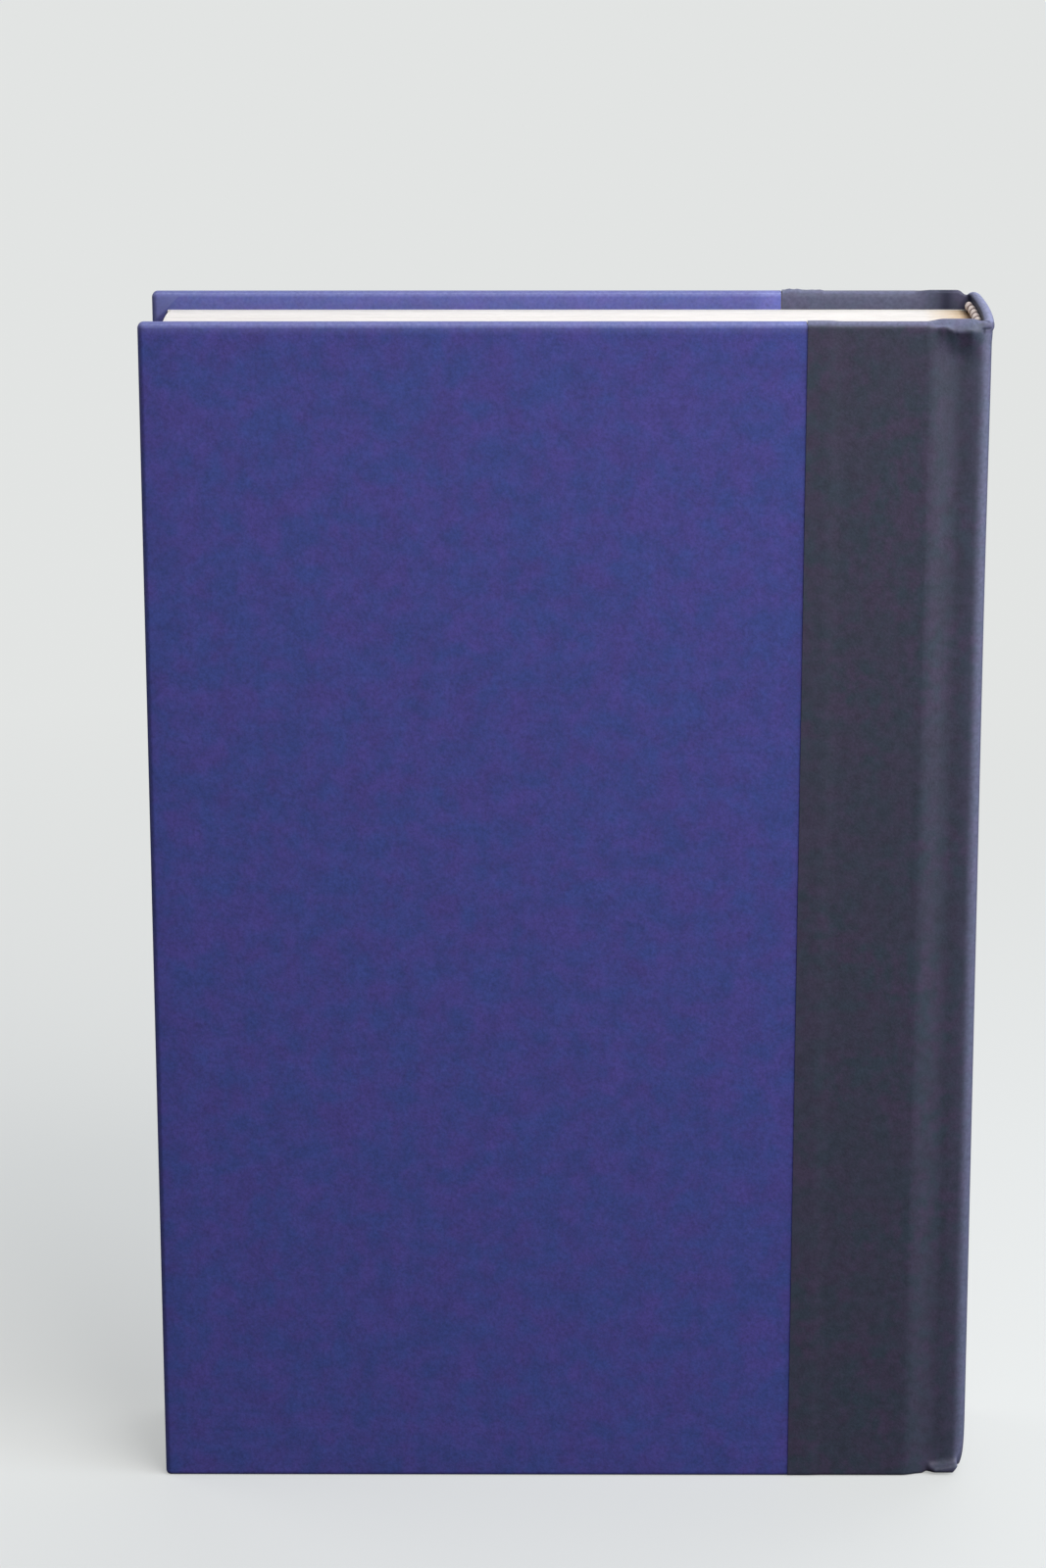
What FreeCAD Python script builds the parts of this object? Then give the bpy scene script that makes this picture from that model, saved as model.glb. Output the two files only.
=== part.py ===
"""A quarter-bound hardback book that stands upright on its tail.

The book block (pages, endpapers, mull, lining, head and tail bands) sits in a case made of two
boards, a spine inlay, a dark strip of covering material over the spine and blue paper sides.
Each cover hangs on a French groove: a strip of covering, mull and endpaper that folds along the
foot of the spine's shoulder and again along the board's edge.

Axes: +Z is up from tail to head, +X runs from the fore edge to the spine, and the back cover
faces -Y. The origin is the middle of the footprint that the book stands on. Units are millimetres.
"""
import FreeCAD, Part
import os
import Sketcher

doc = FreeCAD.newDocument("hardback_book")

# Driving sizes: alias, value in millimetres, what it is.
DRIVING_SIZES = [
    ("page_width", "158.75", "trimmed leaf from the fore edge to the spine's shoulder"),
    ("page_height", "235", "trimmed leaf from tail to head"),
    ("page_bulk", "29", "thickness of all the leaves together"),
    ("spine_round", "0.4", "how far the middle of the block's spine stands out of its shoulders"),
    ("endpaper", "0.2", "thickness of an endpaper leaf"),
    ("leaf_gap", "0.3", "air between the flyleaf and the closed cover"),
    ("mull", "0.25", "thickness of the open cloth glued on the block's spine"),
    ("mull_clear", "4", "the mull ends this far short of the turn-ins"),
    ("mull_reach", "28", "the mull's flange on the inside of each board"),
    ("lining", "0.2", "kraft paper over the mull"),
    ("hollow_gap", "0.6", "air of the hollow back, between lining and inlay"),
    ("inlay", "1.2", "card strip that stiffens the case's spine"),
    ("board", "2.5", "greyboard of each cover"),
    ("edge_round", "0.9", "how far the board's edges are rounded"),
    ("covering", "0.25", "spine cloth and side paper, glued down"),
    ("turn_in", "16", "covering folded over onto the inside at each edge"),
    ("fore_square", "3.2", "board beyond the leaves at the fore edge"),
    ("head_square", "3.5", "board above the leaves"),
    ("tail_square", "2.5", "board below the leaves, which hang a little in a standing book"),
    ("back_seam", "128.55", "edge of the dark strip on the back cover, from its fore edge"),
    ("front_seam", "125.2", "edge of the dark strip on the front cover, from its fore edge"),
    ("groove_width", "7.2", "from the covered board's edge to the foot of the shoulder"),
    ("shoulder_reach", "1.25", "foot of the shoulder, in front of the block's spine edge"),
    ("shoulder_ramp", "1.7", "run over which the shoulder climbs out of the groove"),
    ("shoulder_drop", "1", "shoulder below the cover's outer face"),
    ("fold_gap", "0.3", "running gap beside each fold line"),
    ("band_bead", "1", "radius of the beaded roll of the head and tail bands"),
    ("band_inset", "0.5", "the roll's centre line, in front of the block's spine"),
    ("band_tape", "9", "the bands' tape glued down the spine"),
]

sheet = doc.addObject("Spreadsheet::Sheet", "Sizes")
for row, (alias, value, meaning) in enumerate(DRIVING_SIZES, start=1):
    sheet.set(f"A{row}", meaning)
    sheet.set(f"B{row}", value)
    sheet.setAlias(f"B{row}", alias)
doc.recompute()


def total(*terms):
    """An expression that adds driving sizes and earlier expressions."""
    return "(" + " + ".join(terms) + ")"


def less(first, *terms):
    """An expression that takes terms away from the first one."""
    return "(" + " - ".join((first,) + terms) + ")"


def size(alias):
    return "Sizes." + alias


PAGE_WIDTH = size("page_width")
PAGE_HEIGHT = size("page_height")
PAGE_BULK = size("page_bulk")
SPINE_ROUND = size("spine_round")
ENDPAPER = size("endpaper")
LEAF_GAP = size("leaf_gap")
MULL = size("mull")
LINING = size("lining")
HOLLOW_GAP = size("hollow_gap")
INLAY = size("inlay")
BOARD = size("board")
COVERING = size("covering")
TURN_IN = size("turn_in")
FORE_SQUARE = size("fore_square")
FOLD_GAP = size("fold_gap")
BAND_BEAD = size("band_bead")

# The mull and the turned-in covering share one layer, as deep as the thicker of the two.
LAP = f"max({MULL}; {COVERING})"

# The board's edges are rounded as far as its thickness allows, and the covering goes round them.
WALL_SHARE = "0.4"
BOARD_ROUND = f"min({size('edge_round')}; {WALL_SHARE} * {BOARD})"
WRAP_ROUND = total(BOARD_ROUND, COVERING)

# Heights above the surface that the book stands on.
TAIL = "0"
PAGE_TAIL = size("tail_square")
PAGE_HEAD = total(PAGE_TAIL, PAGE_HEIGHT)
HEAD = total(PAGE_HEAD, size("head_square"))
TAIL_FOLD = TURN_IN
HEAD_FOLD = less(HEAD, TURN_IN)
MULL_TAIL = total(TURN_IN, size("mull_clear"))
MULL_HEAD = less(HEAD, TURN_IN, size("mull_clear"))

# Distances out from the middle plane of the book, the same on both sides.
LEAVES = f"({PAGE_BULK} / 2)"
FLYLEAF = total(LEAVES, ENDPAPER)
PASTE_INNER = total(FLYLEAF, LEAF_GAP)
PASTE_OUTER = total(PASTE_INNER, ENDPAPER)
BOARD_INNER = total(PASTE_OUTER, LAP)
BOARD_OUTER = total(BOARD_INNER, BOARD)
FACE = total(BOARD_OUTER, COVERING)
GROOVE_FLOOR = total(BOARD_INNER, COVERING)
SHOULDER = less(FACE, size("shoulder_drop"))
INLAY_EDGE = less(SHOULDER, COVERING)

# Places along X, from the fore edge to the spine.
BOOK_WIDTH = total(FORE_SQUARE, PAGE_WIDTH, SPINE_ROUND, MULL, LINING, HOLLOW_GAP, INLAY, COVERING)
FORE = f"(-{BOOK_WIDTH} / 2)"
PAGE_FORE = total(FORE, FORE_SQUARE)
BLOCK_EDGE = total(PAGE_FORE, PAGE_WIDTH)
BLOCK_SPINE = total(BLOCK_EDGE, SPINE_ROUND)
FOOT = less(BLOCK_EDGE, size("shoulder_reach"))
SHOULDER_TOP = total(FOOT, size("shoulder_ramp"))
SPINE_FOLD = less(FOOT, FOLD_GAP)
COVER_EDGE = less(FOOT, size("groove_width"))
COVER_FOLD = total(COVER_EDGE, FOLD_GAP)
BACK_SEAM = total(FORE, size("back_seam"))
FRONT_SEAM = total(FORE, size("front_seam"))
FLANGE_START = less(COVER_EDGE, COVERING, size("mull_reach"))
SPINE = f"({BOOK_WIDTH} / 2)"

# The rounded spine is part of one family of circles about a line in front of it.
BLOCK_RADIUS = f"(({LEAVES} * {LEAVES} + {SPINE_ROUND} * {SPINE_ROUND}) / (2 * {SPINE_ROUND}))"
ROUND_CENTRE = less(BLOCK_SPINE, BLOCK_RADIUS)
MULL_RADIUS = total(BLOCK_RADIUS, MULL)
LINING_RADIUS = total(MULL_RADIUS, LINING)
INLAY_RADIUS = total(LINING_RADIUS, HOLLOW_GAP)
CLOTH_RADIUS = total(INLAY_RADIUS, INLAY)
SPINE_RADIUS = total(CLOTH_RADIUS, COVERING)

BACK = -1
FRONT = 1


def box(name, x_span, y_span, z_span):
    """A box between two expressions along each axis."""
    made = doc.addObject("Part::Box", name)
    spans = (("Length", "x", x_span), ("Width", "y", y_span), ("Height", "z", z_span))
    for side, axis, (low, high) in spans:
        made.setExpression(side, f"({high}) - ({low})")
        made.setExpression(f"Placement.Base.{axis}", low)
    return made


def layer(name, side, x_span, depth_span, z_span):
    """A flat layer on one side of the book, its depth measured out from the middle plane."""
    inner, outer = depth_span
    y_span = (inner, outer) if side == FRONT else (f"-({outer})", f"-({inner})")
    return box(name, x_span, y_span, z_span)


def cylinder(name, radius, z_span):
    """One of the circles of the rounded spine, as a column between two heights."""
    low, high = z_span
    made = doc.addObject("Part::Cylinder", name)
    made.setExpression("Radius", radius)
    made.setExpression("Height", f"({high}) - ({low})")
    made.setExpression("Placement.Base.x", ROUND_CENTRE)
    made.setExpression("Placement.Base.z", low)
    return made


def join(name, pieces):
    made = doc.addObject("Part::MultiFuse", name)
    made.Shapes = pieces
    return made


def meet(name, pieces):
    made = doc.addObject("Part::MultiCommon", name)
    made.Shapes = pieces
    return made


def cut(name, base, tool):
    made = doc.addObject("Part::Cut", name)
    made.Base = base
    made.Tool = tool
    return made


def spine_layer(name, inner_radius, outer_radius, half_width, z_span):
    """A curved sheet that follows the rounded spine."""
    outer = cylinder(name + "_outer", outer_radius, z_span)
    inner = cylinder(name + "_inner", inner_radius, z_span)
    shell = cut(name + "_shell", outer, inner)
    window = box(name + "_width", (ROUND_CENTRE, SPINE), (f"-({half_width})", half_width), z_span)
    return meet(name, [shell, window])


def origin_plane(body, role):
    for feature in body.Origin.OriginFeatures:
        if feature.Role == role:
            return feature
    raise ValueError(role)


def plan_sketch(body, name, height):
    """A sketch on the body's own ground plane, lifted to a height."""
    sketch = body.newObject("Sketcher::SketchObject", name)
    sketch.AttachmentSupport = [(origin_plane(body, "XY_Plane"), "")]
    sketch.MapMode = "FlatFace"
    sketch.setExpression("AttachmentOffset.Base.z", height)
    return sketch


def place_point(sketch, edge, end, x, y):
    """Ties one end of a sketch edge to a place in the plan."""
    for kind, place in (("DistanceX", x), ("DistanceY", y)):
        tie = Sketcher.Constraint(kind, -1, 1, edge, end, value_of(place))
        index = sketch.addConstraint(tie)
        sketch.setExpression(f"Constraints[{index}]", place)


def value_of(expression):
    """The present value of an expression, for a sketch's first guess."""
    return float(sheet.evalExpression(expression.replace("Sizes.", "")))


def outline(sketch, places):
    """A closed outline of straight lines through places in the plan."""
    corners = [FreeCAD.Vector(value_of(x), value_of(y), 0) for x, y in places]
    count = len(corners)
    for index in range(count):
        sketch.addGeometry(Part.LineSegment(corners[index], corners[(index + 1) % count]), False)
    for index in range(count):
        sketch.addConstraint(Sketcher.Constraint("Coincident", index, 2, (index + 1) % count, 1))
    for index, (x, y) in enumerate(places):
        place_point(sketch, index, 1, x, y)


def pad(body, sketch, name, height):
    made = body.newObject("PartDesign::Pad", name)
    made.Profile = sketch
    made.setExpression("Length", height)
    return made


def make_page_block():
    """All the leaves as one block with a slightly rounded spine."""
    body = doc.addObject("PartDesign::Body", "page_block")
    sketch = plan_sketch(body, "page_plan", PAGE_TAIL)
    fore, edge, half = value_of(PAGE_FORE), value_of(BLOCK_EDGE), value_of(LEAVES)
    spine = value_of(BLOCK_SPINE)
    corner = [
        FreeCAD.Vector(edge, half, 0),
        FreeCAD.Vector(fore, half, 0),
        FreeCAD.Vector(fore, -half, 0),
        FreeCAD.Vector(edge, -half, 0),
    ]
    for start, end in zip(corner, corner[1:]):
        sketch.addGeometry(Part.LineSegment(start, end), False)
    sketch.addGeometry(Part.Arc(corner[3], FreeCAD.Vector(spine, 0, 0), corner[0]), False)
    places = [(BLOCK_EDGE, LEAVES), (PAGE_FORE, LEAVES), (PAGE_FORE, f"-{LEAVES}")]
    for line in (0, 1):
        sketch.addConstraint(Sketcher.Constraint("Coincident", line, 2, line + 1, 1))
    for line, (x, y) in enumerate(places):
        place_point(sketch, line, 1, x, y)
    place_point(sketch, 2, 2, BLOCK_EDGE, f"-{LEAVES}")
    sketch.addConstraint(Sketcher.Constraint("Coincident", 2, 2, 3, 1))
    sketch.addConstraint(Sketcher.Constraint("Coincident", 0, 1, 3, 2))
    bend = sketch.addConstraint(Sketcher.Constraint("Radius", 3, value_of(BLOCK_RADIUS)))
    sketch.setExpression(f"Constraints[{bend}]", BLOCK_RADIUS)
    pad(body, sketch, "page_pad", PAGE_HEIGHT)
    return body


def make_flyleaf(prefix, side):
    """The endpaper's free leaf, folded back on itself at the spine edge."""
    name = prefix + "_flyleaf"
    pages = (PAGE_TAIL, PAGE_HEAD)
    leaf = layer(name + "_leaf", side, (PAGE_FORE, BLOCK_EDGE), (LEAVES, FLYLEAF), pages)
    fold_span = (less(BLOCK_EDGE, ENDPAPER), BLOCK_EDGE)
    fold = layer(name + "_fold", side, fold_span, (LEAVES, PASTE_OUTER), pages)
    returned = layer(name + "_return", side, (FOOT, BLOCK_EDGE), (PASTE_INNER, PASTE_OUTER), pages)
    return join(name, [leaf, fold, returned])


def make_spine_mull():
    """Open cloth over the block's spine, wrapped round both of its edges."""
    mull_span = (MULL_TAIL, MULL_HEAD)
    pieces = [spine_layer("mull_back", BLOCK_RADIUS, MULL_RADIUS, LEAVES, mull_span)]
    wrap = (BLOCK_EDGE, total(BLOCK_EDGE, MULL))
    flange = (FOOT, total(BLOCK_EDGE, MULL))
    for prefix, side in (("back", BACK), ("front", FRONT)):
        pieces.append(layer(f"mull_{prefix}_wrap", side, wrap, (LEAVES, BOARD_INNER), mull_span))
        reach = (less(BOARD_INNER, MULL), BOARD_INNER)
        pieces.append(layer(f"mull_{prefix}_lip", side, flange, reach, mull_span))
    return join("spine_mull", pieces)


def make_spine_lining():
    """Kraft paper glued over the mull, from tail to head of the block."""
    return spine_layer("spine_lining", MULL_RADIUS, LINING_RADIUS, LEAVES, (PAGE_TAIL, PAGE_HEAD))


def make_band(name, roll_height, tape_span):
    """A beaded roll along the end of the block's spine, on a tape glued down the spine."""
    roll = doc.addObject("Part::Torus", name + "_ring")
    roll.setExpression("Radius1", less(BLOCK_RADIUS, size("band_inset")))
    roll.setExpression("Radius2", BAND_BEAD)
    roll.setExpression("Placement.Base.x", ROUND_CENTRE)
    roll.setExpression("Placement.Base.z", roll_height)
    heights = (less(roll_height, BAND_BEAD), total(roll_height, BAND_BEAD))
    window = box(name + "_width", (ROUND_CENTRE, SPINE), (f"-{LEAVES}", LEAVES), heights)
    bead = meet(name + "_roll", [roll, window])
    tape = spine_layer(name + "_tape", BLOCK_RADIUS, MULL_RADIUS, LEAVES, tape_span)
    return join(name, [bead, tape])


def make_spine_inlay():
    """The card strip inside the case's spine."""
    card = (COVERING, less(HEAD, COVERING))
    return spine_layer("spine_inlay", INLAY_RADIUS, CLOTH_RADIUS, INLAY_EDGE, card)


def spine_column(name, radius, inset_layers, front, z_span):
    """The spine's outline in plan, taken in by some layers of covering, as a column."""
    low, high = z_span
    inset = f"({inset_layers} * {COVERING})"
    slant = f"({inset} / 2)"
    floor = less(GROOVE_FLOOR, inset)
    top = less(SHOULDER, inset)
    start = total(FOOT, slant)
    climb = total(SHOULDER_TOP, slant)
    half = [(front, floor), (start, floor), (climb, top), (SPINE, top)]
    if inset_layers == 0:
        half = half[1:]
    mirrored = [(x, f"-({y})") for x, y in reversed(half)]
    body = doc.addObject("PartDesign::Body", name + "_column")
    sketch = plan_sketch(body, name + "_plan", low)
    outline(sketch, half + mirrored)
    pad(body, sketch, name + "_pad", f"({high}) - ({low})")
    return meet(name, [body, cylinder(name + "_round", radius, z_span)])


def round_spine_corners(column):
    """Softens the two long outer corners where the spine turns into its shoulders."""
    doc.recompute()
    shoulder = value_of(SHOULDER)
    radius = 2 * value_of(COVERING)
    corners = []
    for index, edge in enumerate(column.Shape.Edges, start=1):
        ends = [vertex.Point for vertex in edge.Vertexes]
        upright = len(ends) == 2 and abs(ends[0].z - ends[1].z) > value_of(PAGE_HEIGHT)
        if upright and abs(abs(ends[0].y) - shoulder) < 1e-6 and ends[0].x > value_of(BLOCK_SPINE):
            corners.append((index, radius, radius))
    softened = doc.addObject("Part::Fillet", column.Name + "_soft")
    softened.Base = column
    softened.Edges = corners
    return softened


def make_spine_cloth(inlay):
    """The dark covering over the inlay and both shoulders, folded in at tail and head."""
    whole = (TAIL, HEAD)
    outside = round_spine_corners(spine_column("spine_outside", SPINE_RADIUS, 0, FOOT, whole))
    front = less(FOOT, COVERING)
    inside = spine_column("spine_inside", CLOTH_RADIUS, 1, front, whole)
    skin = cut("spine_skin", outside, inside)
    folds = []
    fold_radius = less(INLAY_RADIUS, COVERING)
    for end, z_span in (("tail", (TAIL, TAIL_FOLD)), ("head", (HEAD_FOLD, HEAD))):
        zone = box(f"spine_{end}_zone", (FOOT, SPINE), (f"-{FACE}", FACE), z_span)
        stock = meet(f"spine_{end}_stock", [outside, zone])
        hollow = spine_column(f"spine_{end}_hollow", fold_radius, 2, front, z_span)
        folds.append(cut(f"spine_{end}_fold", stock, hollow))
    return cut("spine_cloth", join("spine_folded", [skin] + folds), inlay)


def make_joint(prefix, side):
    """The strip that bridges the groove: covering outside, mull within, endpaper inside."""
    across = (COVER_FOLD, SPINE_FOLD)
    name = prefix + "_joint_cloth"
    sheet_layer = layer(name + "_face", side, across, (BOARD_INNER, GROOVE_FLOOR), (TAIL, HEAD))
    folded = (less(BOARD_INNER, COVERING), BOARD_INNER)
    tail = layer(name + "_tail", side, across, folded, (TAIL, TAIL_FOLD))
    head = layer(name + "_head", side, across, folded, (HEAD_FOLD, HEAD))
    cloth = join(name, [sheet_layer, tail, head])
    mull_depth = (less(BOARD_INNER, MULL), BOARD_INNER)
    mull = layer(prefix + "_joint_mull", side, across, mull_depth, (MULL_TAIL, MULL_HEAD))
    paper_depth = (PASTE_INNER, PASTE_OUTER)
    paper = layer(prefix + "_joint_endpaper", side, across, paper_depth, (PAGE_TAIL, PAGE_HEAD))
    return [cloth, mull, paper]


def make_board(prefix, side):
    """The greyboard of a cover, padded up from its plan."""
    body = doc.addObject("PartDesign::Body", prefix + "_board")
    sketch = plan_sketch(body, prefix + "_board_plan", COVERING)
    low, high = BOARD_INNER, BOARD_OUTER
    if side == BACK:
        low, high = f"-{BOARD_OUTER}", f"-{BOARD_INNER}"
    fore = total(FORE, COVERING)
    edge = less(COVER_EDGE, COVERING)
    outline(sketch, [(fore, low), (edge, low), (edge, high), (fore, high)])
    blank = pad(body, sketch, prefix + "_board_pad", f"{HEAD} - 2 * {COVERING}")
    rounded = body.newObject("PartDesign::Fillet", prefix + "_board_rounded")
    rounded.Base = (blank, [""])
    rounded.UseAllEdges = True
    rounded.setExpression("Radius", BOARD_ROUND)
    return body


def make_cover_outside(prefix, side):
    """The outside of a covered board, with every edge rounded."""
    name = prefix + "_outside"
    depth = (less(BOARD_INNER, COVERING), FACE)
    blank = layer(name + "_blank", side, (FORE, COVER_EDGE), depth, (TAIL, HEAD))
    doc.recompute()
    radius = value_of(WRAP_ROUND)
    rounded = doc.addObject("Part::Fillet", name)
    rounded.Base = blank
    rounded.Edges = [(index, radius, radius) for index in range(1, len(blank.Shape.Edges) + 1)]
    return rounded


def wrap_board(name, side, x_span, window_span, outside, board):
    """Covering glued round the board, turned in on the inside and open in the middle."""
    depth = (less(BOARD_INNER, COVERING), FACE)
    reach = layer(name + "_reach", side, x_span, depth, (TAIL, HEAD))
    wrapped = cut(name + "_wrap", meet(name + "_stock", [outside, reach]), board)
    inner = (less(BOARD_INNER, COVERING), BOARD_INNER)
    window = layer(name + "_window", side, window_span, inner, (TAIL_FOLD, HEAD_FOLD))
    return cut(name, wrapped, window)


def make_pastedown(prefix, side, laps):
    """The endpaper's other half, glued over the turn-ins and the mull and down to the board."""
    name = prefix + "_pastedown"
    depth = (PASTE_INNER, BOARD_INNER)
    stock = layer(name + "_stock", side, (PAGE_FORE, COVER_EDGE), depth, (PAGE_TAIL, PAGE_HEAD))
    draped = cut(name + "_draped", stock, join(name + "_laps", laps))
    across = (total(FORE, TURN_IN, ENDPAPER), less(FLANGE_START, ENDPAPER))
    upright = (total(TAIL_FOLD, ENDPAPER), less(HEAD_FOLD, ENDPAPER))
    sunk = layer(name + "_sunk", side, across, (PASTE_INNER, less(BOARD_INNER, ENDPAPER)), upright)
    return cut(name, draped, sunk)


def make_cover(prefix, side):
    """One cover: board, blue side paper, dark wing of the spine cloth, mull flange, pastedown."""
    board = make_board(prefix, side)
    outside = make_cover_outside(prefix, side)
    seam = BACK_SEAM if side == BACK else FRONT_SEAM
    window = (total(FORE, TURN_IN), seam)
    paper = wrap_board(prefix + "_side_paper", side, (FORE, seam), window, outside, board)
    wing = (seam, COVER_EDGE)
    cloth = wrap_board(prefix + "_cloth_wing", side, wing, wing, outside, board)
    mull_depth = (less(BOARD_INNER, MULL), BOARD_INNER)
    mull_span = (MULL_TAIL, MULL_HEAD)
    flange = layer(prefix + "_mull_flange", side, (FLANGE_START, COVER_EDGE), mull_depth, mull_span)
    pastedown = make_pastedown(prefix, side, [paper, cloth, flange])
    return [board, paper, cloth, flange, pastedown]


def make_book():
    """Every sub-part, in the order in which the book would come apart."""
    inlay = make_spine_inlay()
    parts = [
        make_page_block(),
        make_flyleaf("back", BACK),
        make_flyleaf("front", FRONT),
        make_spine_mull(),
        make_spine_lining(),
        make_band("headband", total(PAGE_HEAD, BAND_BEAD),
                  (less(PAGE_HEAD, size("band_tape")), total(PAGE_HEAD, BAND_BEAD))),
        make_band("tailband", less(PAGE_TAIL, BAND_BEAD),
                  (less(PAGE_TAIL, BAND_BEAD), total(PAGE_TAIL, size("band_tape")))),
        inlay,
        make_spine_cloth(inlay),
    ]
    for prefix, side in (("back", BACK), ("front", FRONT)):
        parts += make_joint(prefix, side)
        parts += make_cover(prefix, side)
    for part in parts:
        part.Label = part.Name
    return parts


def check_document():
    """Stops when any feature is left invalid or in error."""
    for thing in doc.Objects:
        if "Invalid" in thing.State or "Error" in thing.State:
            raise RuntimeError(f"{thing.Label}: {thing.State}")


def write_parts(parts):
    os.makedirs("parts", exist_ok=True)
    for part in parts:
        shape = part.Shape
        if shape.isNull() or not shape.isValid() or not shape.Solids:
            raise RuntimeError(f"{part.Label} has no valid shape")
        shape.exportStep(f"parts/{part.Label}.step")
        print(part.Label, len(shape.Solids), "solid", round(shape.Volume, 1), "mm3")


book = make_book()
doc.recompute()
check_document()
write_parts(book)
print("spine fold at", value_of(SPINE_FOLD), "cover fold at", value_of(COVER_FOLD),
      "groove floor at", value_of(GROOVE_FLOOR), "width", value_of(BOOK_WIDTH),
      "thickness", 2 * value_of(FACE), "height", value_of(HEAD))
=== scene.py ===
# %% [markdown]
# # A quarter-bound hardback book
#
# A hardback is two things glued together: a block of leaves, and a case that was made beside it.
# The case is two greyboards and a card strip, held together by a strip of dark covering over the
# spine, with blue paper over the rest of each board. The CAD model gives every one of those parts
# its place, so this script loads it first and dresses it, part by part.

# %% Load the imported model
import math

import bmesh
import bpy
import numpy as np
from mathutils import Matrix, Vector


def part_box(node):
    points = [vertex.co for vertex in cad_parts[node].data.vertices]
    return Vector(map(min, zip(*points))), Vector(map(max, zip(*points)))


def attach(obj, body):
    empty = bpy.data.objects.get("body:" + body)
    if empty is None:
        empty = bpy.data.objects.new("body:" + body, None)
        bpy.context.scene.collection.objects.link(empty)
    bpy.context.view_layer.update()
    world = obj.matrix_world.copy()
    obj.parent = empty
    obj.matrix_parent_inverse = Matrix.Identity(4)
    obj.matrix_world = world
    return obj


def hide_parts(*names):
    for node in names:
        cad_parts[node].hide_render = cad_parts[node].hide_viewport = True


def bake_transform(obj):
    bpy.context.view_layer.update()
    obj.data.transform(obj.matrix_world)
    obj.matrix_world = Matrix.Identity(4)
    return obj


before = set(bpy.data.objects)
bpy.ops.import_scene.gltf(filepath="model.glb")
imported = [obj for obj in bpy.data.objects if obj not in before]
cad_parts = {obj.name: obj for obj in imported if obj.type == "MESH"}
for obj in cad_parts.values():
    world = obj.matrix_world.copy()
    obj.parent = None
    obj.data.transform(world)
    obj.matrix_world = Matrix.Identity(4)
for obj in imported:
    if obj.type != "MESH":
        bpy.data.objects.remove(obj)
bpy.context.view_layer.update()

# %% [markdown]
# ## Measures
#
# Bookbinders think in millimetres and Blender in metres. All shapes below are worked out in
# millimetres, with x counted from the fore edge of the covers, and turned into metres once, when
# a mesh is made. The main places are read from the CAD nodes, so that the dressed pieces fit the
# ones that keep their CAD shape.

# %% Places taken from the CAD model
MM = 0.001


def node_box(node):
    """Lowest and highest corner of a CAD node, in millimetres."""
    low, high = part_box(node)
    return np.array(low) / MM, np.array(high) / MM


board_low, board_high = node_box("front_side_paper")
FORE = board_low[0]
FACE = board_high[1]
HEAD = board_high[2]
INNER = board_low[1]
SEAMS = {-1: node_box("back_side_paper")[1][0] - FORE, 1: board_high[0] - FORE}
page_low, page_high = node_box("page_block")
PAGE_TAIL = page_low[2]
PAGE_HEAD = page_high[2]
BULK = page_high[1] - page_low[1]
LEAF_WIDTH = node_box("front_flyleaf")[1][0] - page_low[0]
SPINE_ROUND = page_high[0] - page_low[0] - LEAF_WIDTH
SPINE = node_box("spine_cloth")[1][0] - FORE
# The fold lines and the corners of the spine lie this far from the middle of the book.
FOLD_DEPTH = 15.7
BACK = -1
FRONT = 1
SIDE_NAMES = {BACK: "back", FRONT: "front"}

# %% [markdown]
# ## Small helpers
#
# Most parts of a book are sheets. A sheet is easiest to describe as a grid of points, row by row.
# These helpers find which way a grid faces, list its faces and walk once round its border.

# %% Grid helpers


def grid_normals(grid):
    """Unit normals of a grid of points, from the differences between its neighbours."""
    down = np.gradient(grid, axis=0)
    across = np.gradient(grid, axis=1)
    normal = np.cross(across, down)
    length = np.linalg.norm(normal, axis=2, keepdims=True)
    return normal / np.maximum(length, 1e-9)


def grid_faces(rows, columns, start=0, flipped=False):
    """Four-sided faces between the points of a grid."""
    faces = []
    for row in range(rows - 1):
        for column in range(columns - 1):
            corner = start + row * columns + column
            face = (corner, corner + 1, corner + columns + 1, corner + columns)
            faces.append(face[::-1] if flipped else face)
    return faces


def rim_of(rows, columns):
    """The border of a grid as one closed loop of point numbers."""
    loop = list(range(columns))
    loop += [row * columns + columns - 1 for row in range(1, rows)]
    loop += [(rows - 1) * columns + column for column in range(columns - 2, -1, -1)]
    loop += [row * columns for row in range(rows - 2, 0, -1)]
    return loop


# %% [markdown]
# A sheet of paper has two sides, so it also needs a wall: the same grid again, pushed inwards
# along its normals, with the rims closed. A Solidify modifier does the same, but here it is worked
# out on the whole strip at once, so that neighbouring pieces match where they meet. Normals taken
# from the uncut grid keep the shading smooth over such a cut. A mark is a number on every point
# that a finish can read later.

# %% Mesh helpers


def mesh_piece(name, points, faces):
    """An object from points in millimetres, x counted from the fore edge."""
    placed = (np.asarray(points, float) + np.array([FORE, 0.0, 0.0])) * MM
    mesh = bpy.data.meshes.new(name)
    mesh.from_pydata(placed.tolist(), [], [tuple(face) for face in faces])
    mesh.update()
    mesh.shade_smooth()
    mesh.set_sharp_from_angle(angle=math.radians(50))
    piece = bpy.data.objects.new(name, mesh)
    bpy.context.scene.collection.objects.link(piece)
    return piece


def add_mark(mesh, mark, values):
    """A number per point that a finish can read, such as how much wear and painted light is on it.
    """
    layer = mesh.attributes.new(mark, "FLOAT", "POINT")
    layer.data.foreach_set("value", np.asarray(values, np.float32))


def shade_from_grid(mesh, normals, grid_face_count):
    """Shades a walled sheet with the normals of the grid it was cut from."""
    count = len(normals)
    shading = []
    for face in mesh.polygons:
        for corner in face.vertices:
            if face.index < grid_face_count:
                shading.append(normals[corner])
            elif face.index < 2 * grid_face_count:
                shading.append(-normals[corner - count])
            else:
                shading.append(face.normal)
    mesh.normals_split_custom_set([tuple(normal) for normal in shading])


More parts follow.
